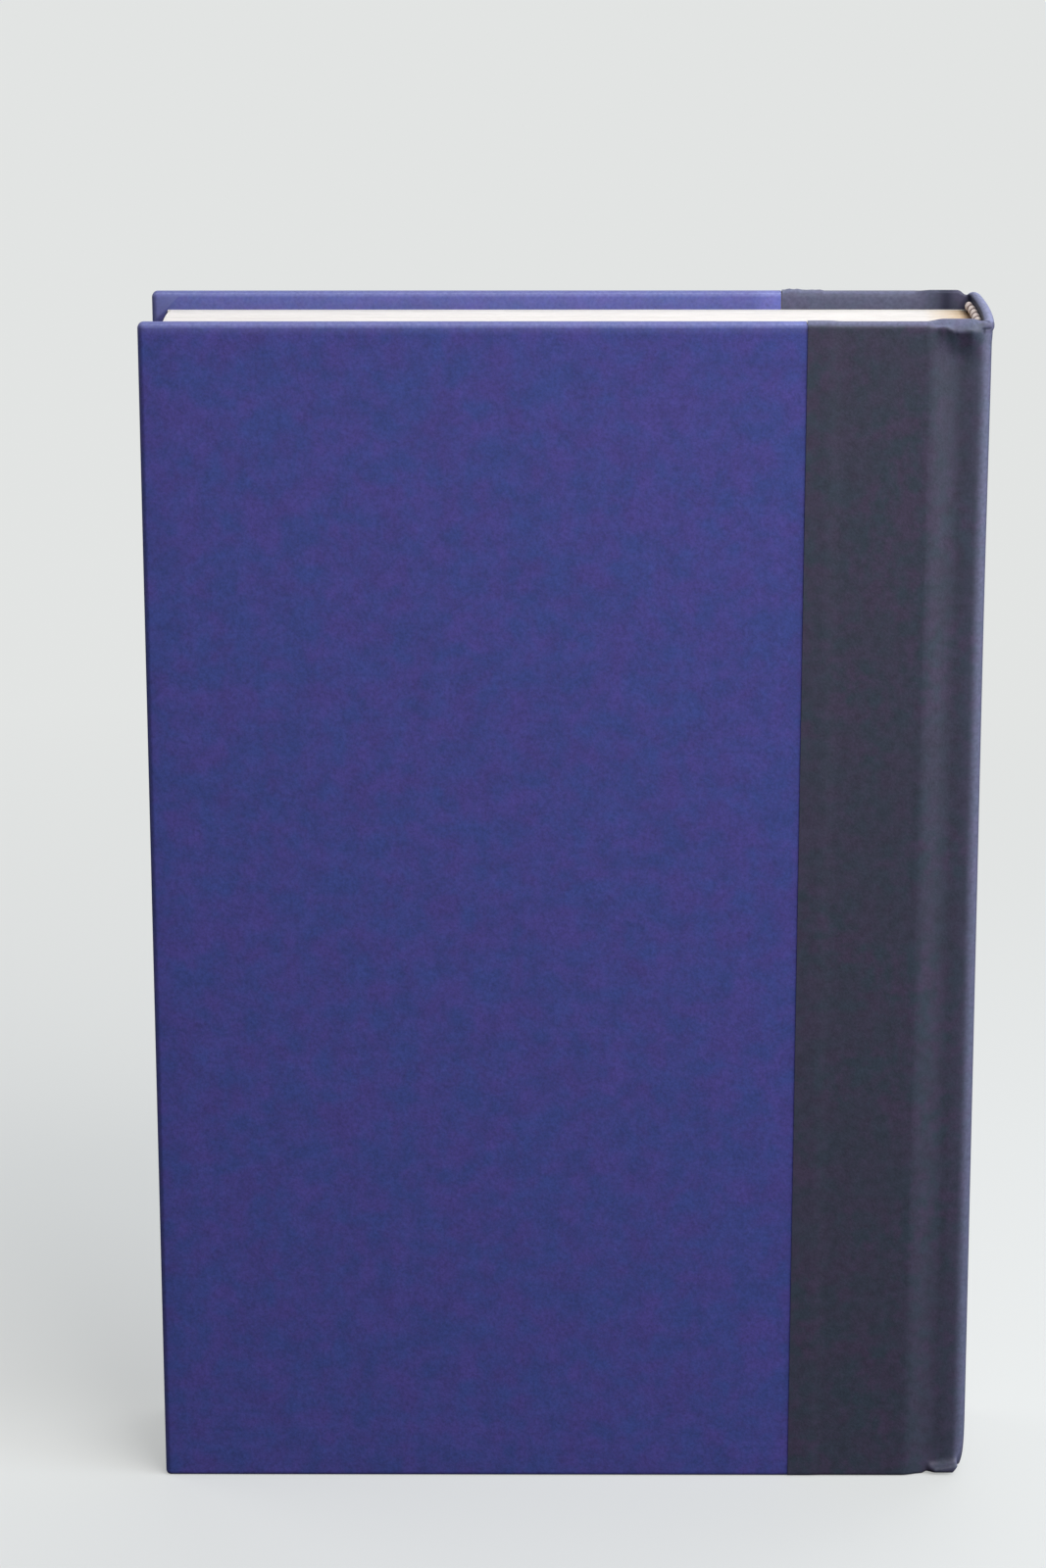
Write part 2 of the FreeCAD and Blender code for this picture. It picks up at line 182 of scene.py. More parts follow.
def walled_sheet(name, outer, inner, flipped, marks=None, normals=None):
    """A closed sheet between an outer and an inner grid of points."""
    rows, columns = outer.shape[:2]
    count = rows * columns
    points = np.concatenate([outer.reshape(-1, 3), inner.reshape(-1, 3)])
    faces = grid_faces(rows, columns, 0, flipped)
    faces += grid_faces(rows, columns, count, not flipped)
    loop = rim_of(rows, columns)
    for first, second in zip(loop, loop[1:] + loop[:1]):
        face = (second, first, first + count, second + count)
        faces.append(face[::-1] if flipped else face)
    piece = mesh_piece(name, points, faces)
    for mark, values in (marks or {}).items():
        add_mark(piece.data, mark, np.tile(values.reshape(-1), 2))
    if normals is not None:
        shade_from_grid(piece.data, normals.reshape(-1, 3), (rows - 1) * (columns - 1))
    return piece


# %% [markdown]
# Paper and thin covering never turn a sharp corner by themselves. Two helpers keep the shapes soft:
# one goes smoothly from 0 to 1 between two places, the other draws a smooth line through points.

# %% Curve helpers


def smooth_step(value, low, high):
    """0 below low, 1 above high, and a smooth rise between them."""
    share = np.clip((np.asarray(value, float) - low) / (high - low), 0.0, 1.0)
    return share * share * (3.0 - 2.0 * share)


def smooth_line(points, step):
    """A smooth line through points, sampled about every step."""
    points = np.asarray(points, float)
    padded = np.vstack([2 * points[0] - points[1], points, 2 * points[-1] - points[-2]])
    sampled = []
    for index in range(1, len(padded) - 2):
        before, start, end, after = padded[index - 1:index + 3]
        length = np.linalg.norm(end - start)
        count = max(1, int(round(length / step)))
        for share in np.arange(count) / count:
            square, cube = share * share, share ** 3
            sampled.append(0.5 * (2 * start + (end - before) * share
                                  + (2 * before - 5 * start + 4 * end - after) * square
                                  + (3 * start - before - 3 * end + after) * cube))
    sampled.append(points[-1])
    return np.array(sampled)


# %% [markdown]
# ## Finishes
#
# Every finish is a small node tree around one Principled shader. The patterns read Object
# coordinates, in metres, so a noise scale of 300 makes patches of about 3 mm. Colours are written
# as they look on screen and turned into the linear values that Blender works with.

# %% Material helpers


def screen_colour(red, green, blue):
    """A colour given in 0 to 255 as it shows on screen, as Blender's linear values."""
    linear = []
    for channel in (red, green, blue):
        share = channel / 255
        linear.append(share / 12.92 if share <= 0.04045 else ((share + 0.055) / 1.055) ** 2.4)
    return (*linear, 1.0)


def add_node(tree, kind, inputs, **settings):
    """Adds a node to a tree; an input may be a value or another node's output."""
    made = tree.nodes.new(kind)
    for key, value in settings.items():
        setattr(made, key, value)
    for key, value in inputs.items():
        if isinstance(value, bpy.types.NodeSocket):
            tree.links.new(value, made.inputs[key])
        else:
            made.inputs[key].default_value = value
    return made


class Finish:
    """A material with one Principled shader and short calls to add nodes to it."""

    def __init__(self, name, roughness, specular=0.5):
        self.material = bpy.data.materials.new(name)
        self.material.use_nodes = True
        self.tree = self.material.node_tree
        self.tree.nodes.clear()
        output = self.tree.nodes.new("ShaderNodeOutputMaterial")
        self.shader = self.tree.nodes.new("ShaderNodeBsdfPrincipled")
        self.tree.links.new(self.shader.outputs["BSDF"], output.inputs["Surface"])
        self.shader.inputs["Roughness"].default_value = roughness
        self.shader.inputs["Specular IOR Level"].default_value = specular
        self.place = self.add("ShaderNodeTexCoord", {}).outputs["Object"]

    def add(self, kind, inputs, **settings):
        """Adds a node to this material."""
        return add_node(self.tree, kind, inputs, **settings)

    def stretched(self, x, y, z):
        """Object coordinates scaled along each axis."""
        inputs = {"Vector": self.place, "Scale": (x, y, z)}
        return self.add("ShaderNodeMapping", inputs).outputs["Vector"]

    def noise(self, scale, detail=2.0, vector=None):
        """Soft random patches; a larger scale makes smaller ones."""
        inputs = {"Vector": vector or self.place, "Scale": scale, "Detail": detail}
        return self.add("ShaderNodeTexNoise", inputs).outputs["Fac"]

    def spread(self, value, low, high, to_low=0.0, to_high=1.0):
        """Maps a value between low and high onto another range, and clamps it."""
        inputs = {"Value": value, "From Min": low, "From Max": high,
                  "To Min": to_low, "To Max": to_high}
        return self.add("ShaderNodeMapRange", inputs).outputs["Result"]

    def sum(self, operation, first, second):
        """One step of arithmetic on two values."""
        made = self.add("ShaderNodeMath", {0: first, 1: second}, operation=operation)
        return made.outputs["Value"]

    def mix(self, share, first, second):
        """One colour going over into another."""
        made = self.add("ShaderNodeMix", {0: share, 6: first, 7: second}, data_type="RGBA")
        return made.outputs[2]

    def tone(self, colour, factor):
        """Multiplies a colour by a grey factor."""
        grey = self.add("ShaderNodeCombineColor", {0: factor, 1: factor, 2: factor})
        made = self.add("ShaderNodeMix", {0: 1.0, 6: colour, 7: grey.outputs["Color"]},
                        data_type="RGBA", blend_type="MULTIPLY")
        return made.outputs[2]

    def attribute(self, name):
        """A mark that the mesh carries on its points."""
        return self.add("ShaderNodeAttribute", {}, attribute_name=name).outputs["Fac"]

    def colour(self, socket):
        """Makes this the colour of the surface."""
        self.tree.links.new(socket, self.shader.inputs["Base Color"])

    def bump(self, height, strength, distance):
        """A relief of very small bumps, seen only in the light on them."""
        inputs = {"Height": height, "Strength": strength, "Distance": distance}
        made = self.add("ShaderNodeBump", inputs)
        self.tree.links.new(made.outputs["Normal"], self.shader.inputs["Normal"])


# %% [markdown]
# ### Blue side paper and dark spine strip
#
# The side paper is a coloured, uncoated covering paper: matt, with soft mottled patches where the
# dye took more violet or more blue, fine specks of grain, and paler fibres along its edges. The
# dark strip is a fine blue-black covering with the same matt finish and the same kind of soft
# clouds. Two marks on the meshes steer them. The first makes the surface paler: partly wear on its
# edges, partly a painted highlight where edges face the light from above or from the side, and
# painted light on the inner faces. The other, shade, is painted shade where the strip is pressed
# into a crease or lies inside the case. The slanting fold at a board's free corners is as thin as
# paper, so it is drawn as a paler patch and not modelled.

# %% Covering finishes
CORNER_FOLD = 6.5
FOLD_SOFTNESS = (-0.4, 0.2)
INNER_FACE = (15.7, 16.2)


def folded_corner(finish):
    """The pale slanting fold of the paper on the inside of a board's free corners."""
    split = finish.add("ShaderNodeSeparateXYZ", {"Vector": finish.place}).outputs
    middle = 0.5 * HEAD * MM
    from_middle = finish.sum("ABSOLUTE", finish.sum("SUBTRACT", split["Z"], middle), 0.0)
    slant = finish.sum("SUBTRACT", split["X"], from_middle)
    fold = FORE * MM - middle + CORNER_FOLD * MM
    start, end = (fold + away * MM for away in FOLD_SOFTNESS)
    beyond = finish.spread(slant, start, end, 1.0, 0.0)
    from_block = finish.sum("ABSOLUTE", split["Y"], 0.0)
    low, high = (away * MM for away in INNER_FACE)
    inner_face = finish.spread(from_block, low, high, 0.32, 0.0)
    return finish.sum("MULTIPLY", beyond, inner_face)


def make_blue_paper():
    """Small and broad patches of two blues, clouded and grained, then paler with wear and painted
    light.
    """
    finish = Finish("blue_side_paper", 0.7, 0.45)
    patches = finish.spread(finish.noise(260, 6.0), 0.36, 0.64)
    broad = finish.spread(finish.noise(130, 4.0), 0.38, 0.62)
    small = finish.mix(patches, screen_colour(57, 69, 140), screen_colour(72, 65, 141))
    large = finish.mix(broad, screen_colour(57, 70, 141), screen_colour(72, 65, 142))
    clouds = finish.spread(finish.noise(230, 5.0), 0.36, 0.64, 0.93, 1.07)
    base = finish.tone(finish.mix(0.5, small, large), clouds)
    grain = finish.sum("ADD", finish.noise(2400, 6.0), finish.noise(1000, 6.0))
    grained = finish.tone(base, finish.spread(grain, 0.72, 1.28, 0.81, 1.19))
    # The paler blue below is the colour of a lit edge: it paints a highlight on the head and light
    # on the inner faces, besides some wear on the edges; fray breaks it into fibres.
    fray = finish.spread(finish.noise(1500, 6.0), 0.3, 0.75, 0.55, 1.0)
    rubbed_and_lit = finish.sum("MULTIPLY", finish.attribute("wear_and_painted_light"), fray)
    worn_and_lit = finish.sum("MAXIMUM", rubbed_and_lit, folded_corner(finish))
    pale = screen_colour(150, 156, 204)
    finish.colour(finish.mix(worn_and_lit, grained, pale))
    finish.bump(finish.noise(1500, 6.0), 0.35, 0.0001)
    return finish.material


def make_dark_covering():
    """Patches of two near-black blues, grained, with painted shade, and with wear and painted
    highlight.
    """
    finish = Finish("dark_spine_covering", 0.58, 0.5)
    patches = finish.spread(finish.noise(300, 6.0), 0.38, 0.62)
    base = finish.mix(patches, screen_colour(47, 57, 72), screen_colour(61, 53, 77))
    broad = finish.spread(finish.noise(90, 4.0), 0.4, 0.6, 0.0, 0.6)
    tinted = finish.mix(broad, base, screen_colour(53, 54, 72))
    grain = finish.sum("ADD", finish.noise(2400, 6.0), finish.noise(500, 6.0))
    grained = finish.tone(tinted, finish.spread(grain, 0.72, 1.28, 0.76, 1.24))
    # The shade mark mixes in dark navy, a painted shade in the creases and inside the case. The
    # other mark mixes in a paler blue: wear together with a painted highlight on upward faces and
    # on the spine's side.
    shaded = finish.mix(finish.attribute("shade"), grained, screen_colour(8, 18, 48))
    fray = finish.spread(finish.noise(1300, 6.0), 0.3, 0.75, 0.5, 1.0)
    worn_and_lit = finish.sum("MULTIPLY", finish.attribute("wear_and_painted_light"), fray)
    pale = screen_colour(150, 154, 194)
    finish.colour(finish.mix(worn_and_lit, shaded, pale))
    finish.bump(finish.noise(1800, 6.0), 0.3, 0.0001)
    return finish.material


BLUE_PAPER = make_blue_paper()
DARK_COVERING = make_dark_covering()

# %% [markdown]
# ### Paper, card and cotton
#
# The leaves show only their cut edges, so their streaks run along the leaves: the noise is
# stretched along x and squeezed across the block. Towards the spine the paper turns creamier,
# partly its own tone and partly painted shade, and at the very spine a brown painted shade is laid
# over it; both are strongest on the side of the far cover. Endpapers, board and kraft paper are
# each one plain stock, and mull is an open cotton weave, made of two bands of waves that cross.

# %% Paper finishes
CREAM = (153, 161)
SPINE_SHADE = (160, 162)
SHADED_SIDE = (-14, 4)


def make_page_edges():
    """Cut edges of the leaves, streaked along them, with cream and painted shade towards the spine.
    """
    finish = Finish("page_edges", 0.85, 0.2)
    streaks = finish.noise(1400, 3.0, finish.stretched(0.03, 1.0, 0.03))
    split = finish.add("ShaderNodeSeparateXYZ", {"Vector": finish.place}).outputs
    # Painted shade towards the spine: the leaves turn creamier, partly their own tone, and brown at
    # the very spine; both grow stronger towards the far cover.
    side = finish.spread(split["Y"], SHADED_SIDE[0] * MM, SHADED_SIDE[1] * MM, 0.25, 1.0)
    shares = []
    for low, high in (CREAM, SPINE_SHADE):
        near_spine = finish.spread(split["X"], (FORE + low) * MM, (FORE + high) * MM)
        shares.append(finish.sum("MULTIPLY", near_spine, side))
    cream_and_shade, spine_shade = shares
    cream = finish.mix(cream_and_shade, screen_colour(241, 237, 234), screen_colour(236, 214, 184))
    cream_and_spine_shade = finish.mix(spine_shade, cream, screen_colour(190, 162, 134))
    finish.colour(finish.tone(cream_and_spine_shade, finish.spread(streaks, 0.3, 0.7, 0.9, 1.03)))
    finish.bump(streaks, 0.25, 0.0001)
    return finish.material


def make_paper(name, light, dark, scale, bump=0.2):
    """A plain uncoated stock with fibres and faint clouds."""
    finish = Finish(name, 0.85, 0.25)
    clouds = finish.spread(finish.noise(scale, 4.0), 0.35, 0.65)
    fibres = finish.noise(2400, 5.0, finish.stretched(1.0, 1.0, 0.3))
    base = finish.mix(clouds, screen_colour(*light), screen_colour(*dark))
    finish.colour(finish.tone(base, finish.spread(fibres, 0.3, 0.7, 0.94, 1.05)))
    finish.bump(fibres, bump, 0.0001)
    return finish.material


def make_mull():
    """Open starched cotton: two sets of threads seen against the glue between them."""
    finish = Finish("open_mull", 0.9, 0.2)
    threads = []
    for axis in ("X", "Z"):
        inputs = {"Vector": finish.place, "Scale": 420.0, "Distortion": 0.4}
        wave = finish.add("ShaderNodeTexWave", inputs, bands_direction=axis)
        threads.append(wave.outputs["Fac"])
    weave = finish.sum("MAXIMUM", threads[0], threads[1])
    finish.colour(finish.mix(finish.spread(weave, 0.4, 0.8), screen_colour(176, 160, 128),
                             screen_colour(228, 220, 200)))
    finish.bump(weave, 0.6, 0.0002)
    return finish.material


PAGE_EDGES = make_page_edges()
ENDPAPER = make_paper("laid_endpaper", (241, 237, 229), (237, 232, 222), 90)
KRAFT = make_paper("kraft_lining", (196, 160, 116), (180, 144, 102), 160, 0.35)
GREYBOARD = make_paper("greyboard", (168, 160, 150), (140, 134, 126), 500, 0.5)
MULL = make_mull()

# %% [markdown]
# ### Cotton thread
#
# The bands at head and tail are wound with two colours of cotton. A thread is a bundle of twisted
# fibres, so its finish has fine ridges that run across the winding and a little sheen.

# %% Thread finish


def make_thread(name, light, dark):
    """Cotton thread wound round a core: fine ridges across a soft sheen."""
    finish = Finish(name, 0.7, 0.3)
    twist = finish.noise(2200, 3.0, finish.stretched(1.0, 0.35, 1.0))
    finish.colour(finish.mix(finish.spread(twist, 0.35, 0.65), screen_colour(*light),
                             screen_colour(*dark)))
    finish.bump(twist, 0.5, 0.0001)
    finish.shader.inputs["Sheen Weight"].default_value = 0.2
    return finish.material


BAND_PALE = make_thread("band_pale_thread", (236, 222, 214), (212, 192, 184))
BAND_BROWN = make_thread("band_brown_thread", (128, 102, 96), (98, 76, 72))

# %% [markdown]
# ## The block of leaves
#
# About 310 leaves make up the 29 mm between the covers. An Array modifier could repeat them, but
# every leaf is trimmed a hair differently and the spine edge is slightly round. Geometry Nodes can
# do both. Their trees are built in the script, so these helpers come first: one makes a tree with
# a named input for each size, one adds arithmetic, and one runs the tree and keeps its mesh.

# %% Node tree helpers
WHOLE_NUMBERS = ("Leaves", "Beads", "Seed")


def new_tree(name, sizes):
    """A geometry node tree with a named input for each of its sizes."""
    tree = bpy.data.node_groups.new(name, "GeometryNodeTree")
    tree.interface.new_socket("Geometry", in_out="OUTPUT", socket_type="NodeSocketGeometry")
    sockets = {}
    for size in sizes:
        kind = "NodeSocketInt" if size in WHOLE_NUMBERS else "NodeSocketFloat"
        made = tree.interface.new_socket(size, in_out="INPUT", socket_type=kind)
        sockets[size] = made.identifier
    return tree, sockets


def arithmetic(tree, operation, first, second):
    """One step of arithmetic in a tree, on values or on other nodes' outputs."""
    made = add_node(tree, "ShaderNodeMath", {0: first, 1: second}, operation=operation)
    return made.outputs[0]


def grow(name, tree, sockets, values):
    """Runs a tree on an empty object and returns the result as a plain mesh object."""
    seed_mesh = bpy.data.meshes.new(name + "_seed")
    holder = bpy.data.objects.new(name + "_seed", seed_mesh)
    bpy.context.scene.collection.objects.link(holder)
    modifier = holder.modifiers.new("grow", "NODES")
    modifier.node_group = tree
    for label, value in values.items():
        modifier[sockets[label]] = value
    bpy.context.view_layer.update()
    graph = bpy.context.evaluated_depsgraph_get()
    mesh = bpy.data.meshes.new_from_object(holder.evaluated_get(graph))
    mesh.name = name
    piece = bpy.data.objects.new(name, mesh)
    bpy.context.scene.collection.objects.link(piece)
    bpy.data.objects.remove(holder)
    return piece


# %% [markdown]
# The tree places one thin leaf on every point of a line across the block. It stretches each leaf
# until it reaches the rounded spine, draws the outermost ones in a little at both edges, and takes
# a small seeded trim off each. Realize Instances turns them into real geometry.

# %% Leaves


def leaf_tree():
    """Thin leaves on a line across the block, each cut to its own length."""
    tree, sockets = new_tree("leaf_block", (
        "Leaves", "Bulk", "Width", "Height", "Round", "Stagger", "Spine Corner", "Fore Corner",
        "Fore", "Tail", "Seed"))
    given = tree.nodes.new("NodeGroupInput").outputs
    pitch = arithmetic(tree, "DIVIDE", given["Bulk"], given["Leaves"])
    first = arithmetic(tree, "MULTIPLY", arithmetic(tree, "SUBTRACT", pitch, given["Bulk"]), 0.5)
    start = add_node(tree, "ShaderNodeCombineXYZ", {"Y": first})
    step = add_node(tree, "ShaderNodeCombineXYZ", {"Y": pitch})
    line = add_node(tree, "GeometryNodeMeshLine", {
        "Count": given["Leaves"], "Start Location": start.outputs[0], "Offset": step.outputs[0]})
    leaf = add_node(tree, "GeometryNodeMeshCube", {})
    index = tree.nodes.new("GeometryNodeInputIndex").outputs[0]
    place = tree.nodes.new("GeometryNodeInputPosition").outputs[0]
    across = add_node(tree, "ShaderNodeSeparateXYZ", {0: place}).outputs["Y"]
    half = arithmetic(tree, "MULTIPLY", given["Bulk"], 0.5)
    share = arithmetic(tree, "DIVIDE", across, half)
    rounded = arithmetic(tree, "MULTIPLY", arithmetic(tree, "MULTIPLY", share, share),
                         given["Round"])
    outermost = arithmetic(tree, "POWER", arithmetic(tree, "ABSOLUTE", share, 0.0), 7.0)
    spine_corner = arithmetic(tree, "MULTIPLY", outermost, given["Spine Corner"])
    fore_corner = arithmetic(tree, "MULTIPLY", outermost, given["Fore Corner"])
    full = arithmetic(tree, "ADD", given["Width"], given["Round"])
    reach = arithmetic(tree, "SUBTRACT", full, arithmetic(tree, "ADD", rounded, spine_corner))
    trims = []
    for offset in (0, 1, 2):
        seed = arithmetic(tree, "ADD", given["Seed"], float(offset))
        random = add_node(tree, "FunctionNodeRandomValue", {
            "ID": index, "Seed": seed, "Min": 0.0, "Max": 1.0}, data_type="FLOAT")
        value = next(s for s in random.outputs if s.type == "VALUE" and s.enabled)
        trims.append(arithmetic(tree, "MULTIPLY", value, given["Stagger"]))
    trims[0] = arithmetic(tree, "ADD", trims[0], fore_corner)
    length = arithmetic(tree, "SUBTRACT", reach, trims[0])
    tall = arithmetic(tree, "SUBTRACT", given["Height"], trims[1])
    thick = arithmetic(tree, "MULTIPLY", pitch, 0.9)
    scale = add_node(tree, "ShaderNodeCombineXYZ", {"X": length, "Y": thick, "Z": tall})
    middle_x = arithmetic(tree, "ADD", arithmetic(tree, "ADD", given["Fore"], trims[0]),
                          arithmetic(tree, "MULTIPLY", length, 0.5))
    middle_z = arithmetic(tree, "ADD", given["Tail"], arithmetic(tree, "MULTIPLY", tall, 0.5))
    moved = add_node(tree, "ShaderNodeCombineXYZ", {"X": middle_x, "Y": across, "Z": middle_z})
    placed = add_node(tree, "GeometryNodeSetPosition", {
        "Geometry": line.outputs[0], "Position": moved.outputs[0]})
    stacked = add_node(tree, "GeometryNodeInstanceOnPoints", {
        "Points": placed.outputs[0], "Instance": leaf.outputs[0], "Scale": scale.outputs[0]})
    real = add_node(tree, "GeometryNodeRealizeInstances", {0: stacked.outputs[0]})
    papered = add_node(tree, "GeometryNodeSetMaterial", {
        "Geometry": real.outputs[0], "Material": PAGE_EDGES})
    output = tree.nodes.new("NodeGroupOutput")
    tree.links.new(papered.outputs[0], output.inputs[0])
    return tree, sockets


LEAF_COUNT = 310
LEAF_STAGGER = 0.00008
SPINE_CORNER_DRAW = 0.0012
FORE_CORNER_DRAW = 0.0008
tree, sockets = leaf_tree()
leaves = grow("leaves", tree, sockets, {
    "Leaves": LEAF_COUNT, "Bulk": BULK * MM, "Width": LEAF_WIDTH * MM,
    "Height": (PAGE_HEAD - PAGE_TAIL) * MM, "Round": SPINE_ROUND * MM,
    "Stagger": LEAF_STAGGER, "Spine Corner": SPINE_CORNER_DRAW, "Fore Corner": FORE_CORNER_DRAW,
    "Fore": page_low[0] * MM, "Tail": PAGE_TAIL * MM, "Seed": 4})
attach(leaves, "book_block")
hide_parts("page_block")
print("leaves:", LEAF_COUNT, "faces:", len(leaves.data.polygons))

# %% [markdown]
# ## Head and tail bands
#
# The bands are a cord wound with pale and brown cotton, glued at each end of the spine. Only the
# roll is seen above the leaves. Each winding is a long bead, so one bead is repeated along the
# roll, with a thin brown winding between pale ones. All of them are then slanted together, the
# way the thread was wound.

# %% Bands


def band_tree():
    """Long pale beads with thin brown ones between them, all leaning the same way."""
    tree, sockets = new_tree("beaded_band", (
        "Beads", "Bulk", "Radius", "Round", "Across", "Height", "Lean"))
    given = tree.nodes.new("NodeGroupInput").outputs
    pitch = arithmetic(tree, "DIVIDE", given["Bulk"], given["Beads"])
    half = arithmetic(tree, "MULTIPLY", given["Bulk"], 0.5)
    step = add_node(tree, "ShaderNodeCombineXYZ", {"Y": pitch}).outputs[0]
    place = tree.nodes.new("GeometryNodeInputPosition").outputs[0]
    across = add_node(tree, "ShaderNodeSeparateXYZ", {0: place}).outputs["Y"]
    share = arithmetic(tree, "DIVIDE", across, half)
    fall = arithmetic(tree, "MULTIPLY", arithmetic(tree, "POWER", share, 4.0), given["Round"])
    curved = arithmetic(tree, "SUBTRACT", given["Across"], fall)
    moved = add_node(tree, "ShaderNodeCombineXYZ", {"X": curved, "Y": across,
                                                    "Z": given["Height"]}).outputs[0]
    windings = []
    for length, girth, offset, count_less, material in (
            (0.6, 1.0, 0.5, 0, BAND_PALE), (0.2, 0.95, 1.0, 1, BAND_BROWN)):
        low = arithmetic(tree, "SUBTRACT", arithmetic(tree, "MULTIPLY", pitch, offset), half)
        start = add_node(tree, "ShaderNodeCombineXYZ", {"Y": low}).outputs[0]
        count = arithmetic(tree, "SUBTRACT", given["Beads"], float(count_less))
        line = add_node(tree, "GeometryNodeMeshLine", {
            "Count": count, "Start Location": start, "Offset": step}).outputs[0]
        placed = add_node(tree, "GeometryNodeSetPosition", {
            "Geometry": line, "Position": moved}).outputs[0]
        bead = add_node(tree, "GeometryNodeMeshUVSphere", {
            "Segments": 20, "Rings": 12, "Radius": 1.0}).outputs[0]
        thick = arithmetic(tree, "MULTIPLY", given["Radius"], girth)
        long = arithmetic(tree, "MULTIPLY", pitch, length)
        size = add_node(tree, "ShaderNodeCombineXYZ", {"X": thick, "Y": long,
                                                       "Z": thick}).outputs[0]
        wound = add_node(tree, "GeometryNodeInstanceOnPoints", {
            "Points": placed, "Instance": bead, "Scale": size}).outputs[0]
        windings.append(add_node(tree, "GeometryNodeSetMaterial", {
            "Geometry": wound, "Material": material}).outputs[0])
    joined = tree.nodes.new("GeometryNodeJoinGeometry")
    for winding in windings:
        tree.links.new(winding, joined.inputs[0])
    real = add_node(tree, "GeometryNodeRealizeInstances", {0: joined.outputs[0]}).outputs[0]
    beside = add_node(tree, "ShaderNodeSeparateXYZ", {0: place}).outputs["X"]
    aside = arithmetic(tree, "MULTIPLY", arithmetic(tree, "SUBTRACT", beside, given["Across"]),
                       given["Lean"])
    slanted = add_node(tree, "ShaderNodeCombineXYZ", {"Y": aside}).outputs[0]
    leaning = add_node(tree, "GeometryNodeSetPosition", {
        "Geometry": real, "Offset": slanted}).outputs[0]
    smooth = add_node(tree, "GeometryNodeSetShadeSmooth", {"Geometry": leaning}).outputs[0]
    output = tree.nodes.new("NodeGroupOutput")
    tree.links.new(smooth, output.inputs[0])
    return tree, sockets


BEADS = 7
BEAD_RADIUS = 0.84
BAND_PLACE = 162.55 + FORE
BAND_ROUND = 0.0006
BAND_LEAN = 0.8
HEADBAND_SHORT = 0.4
HEADBAND_LIFT = 0.35
TAILBAND_SHORT = 3.0
TAILBAND_LIFT = 0.1
tree, sockets = band_tree()
for band, height, short in (
        ("headband", PAGE_HEAD + BEAD_RADIUS + HEADBAND_LIFT, HEADBAND_SHORT),
        ("tailband", PAGE_TAIL - BEAD_RADIUS - TAILBAND_LIFT, TAILBAND_SHORT)):
    beads = grow(band + "_beads", tree, sockets, {
        "Beads": BEADS, "Bulk": (BULK - short) * MM, "Radius": BEAD_RADIUS * MM,
        "Round": BAND_ROUND, "Across": BAND_PLACE * MM, "Height": height * MM,
        "Lean": BAND_LEAN})
    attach(beads, "book_block")
    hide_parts(band)
    print(beads.name, "beads:", BEADS)

# %% [markdown]
# ## Blue side paper
#
# Each board is wrapped in blue paper that folds over three edges onto the inside. A rounded box
# would do, but the paper must be a sheet with the board inside it and a window where it stops.
# So the outside of a box is gridded, each point is pulled onto a rounded edge by measuring from
# an inner core, and the sheet is only built where there is paper.

# %% Paper over a board
PAPER_THICK = 0.22
EDGE_RADIUS = 1.15
LAP = 1.0
TURN_IN = 16.0
PAST_SEAM = 60.0
EDGE_GAP = 0.41


def edge_stops(low, high, radius, step, round_high=True):
    """Grid lines from low to high: close together round the edges, then every step."""
    angles = np.radians([0, 9, 18, 27, 36, 45])
    near = list(low + radius * (1 - np.tan(angles[::-1])))
    far = list(high - radius * (1 - np.tan(angles))) if round_high else [high]
    count = max(2, int(round((far[0] - near[-1]) / step)))
    inside = np.linspace(near[-1], far[0], count + 1)[1:-1]
    return np.array(near + list(inside) + far)


def rounded(points, low, high, radius):
    """Pulls points of a box onto its rounded edges and corners."""
    core = np.clip(points, low + radius, high - radius)
    away = points - core
    length = np.linalg.norm(away, axis=-1, keepdims=True)
    return core + away * np.where(length > 1e-9, radius / np.maximum(length, 1e-9), 0)


def flat_foot(z):
    """Squashes the rounding of the tail edge, on which the book has stood."""
    return np.where(z < EDGE_RADIUS, z * (0.45 + 0.55 * z / EDGE_RADIUS), z)


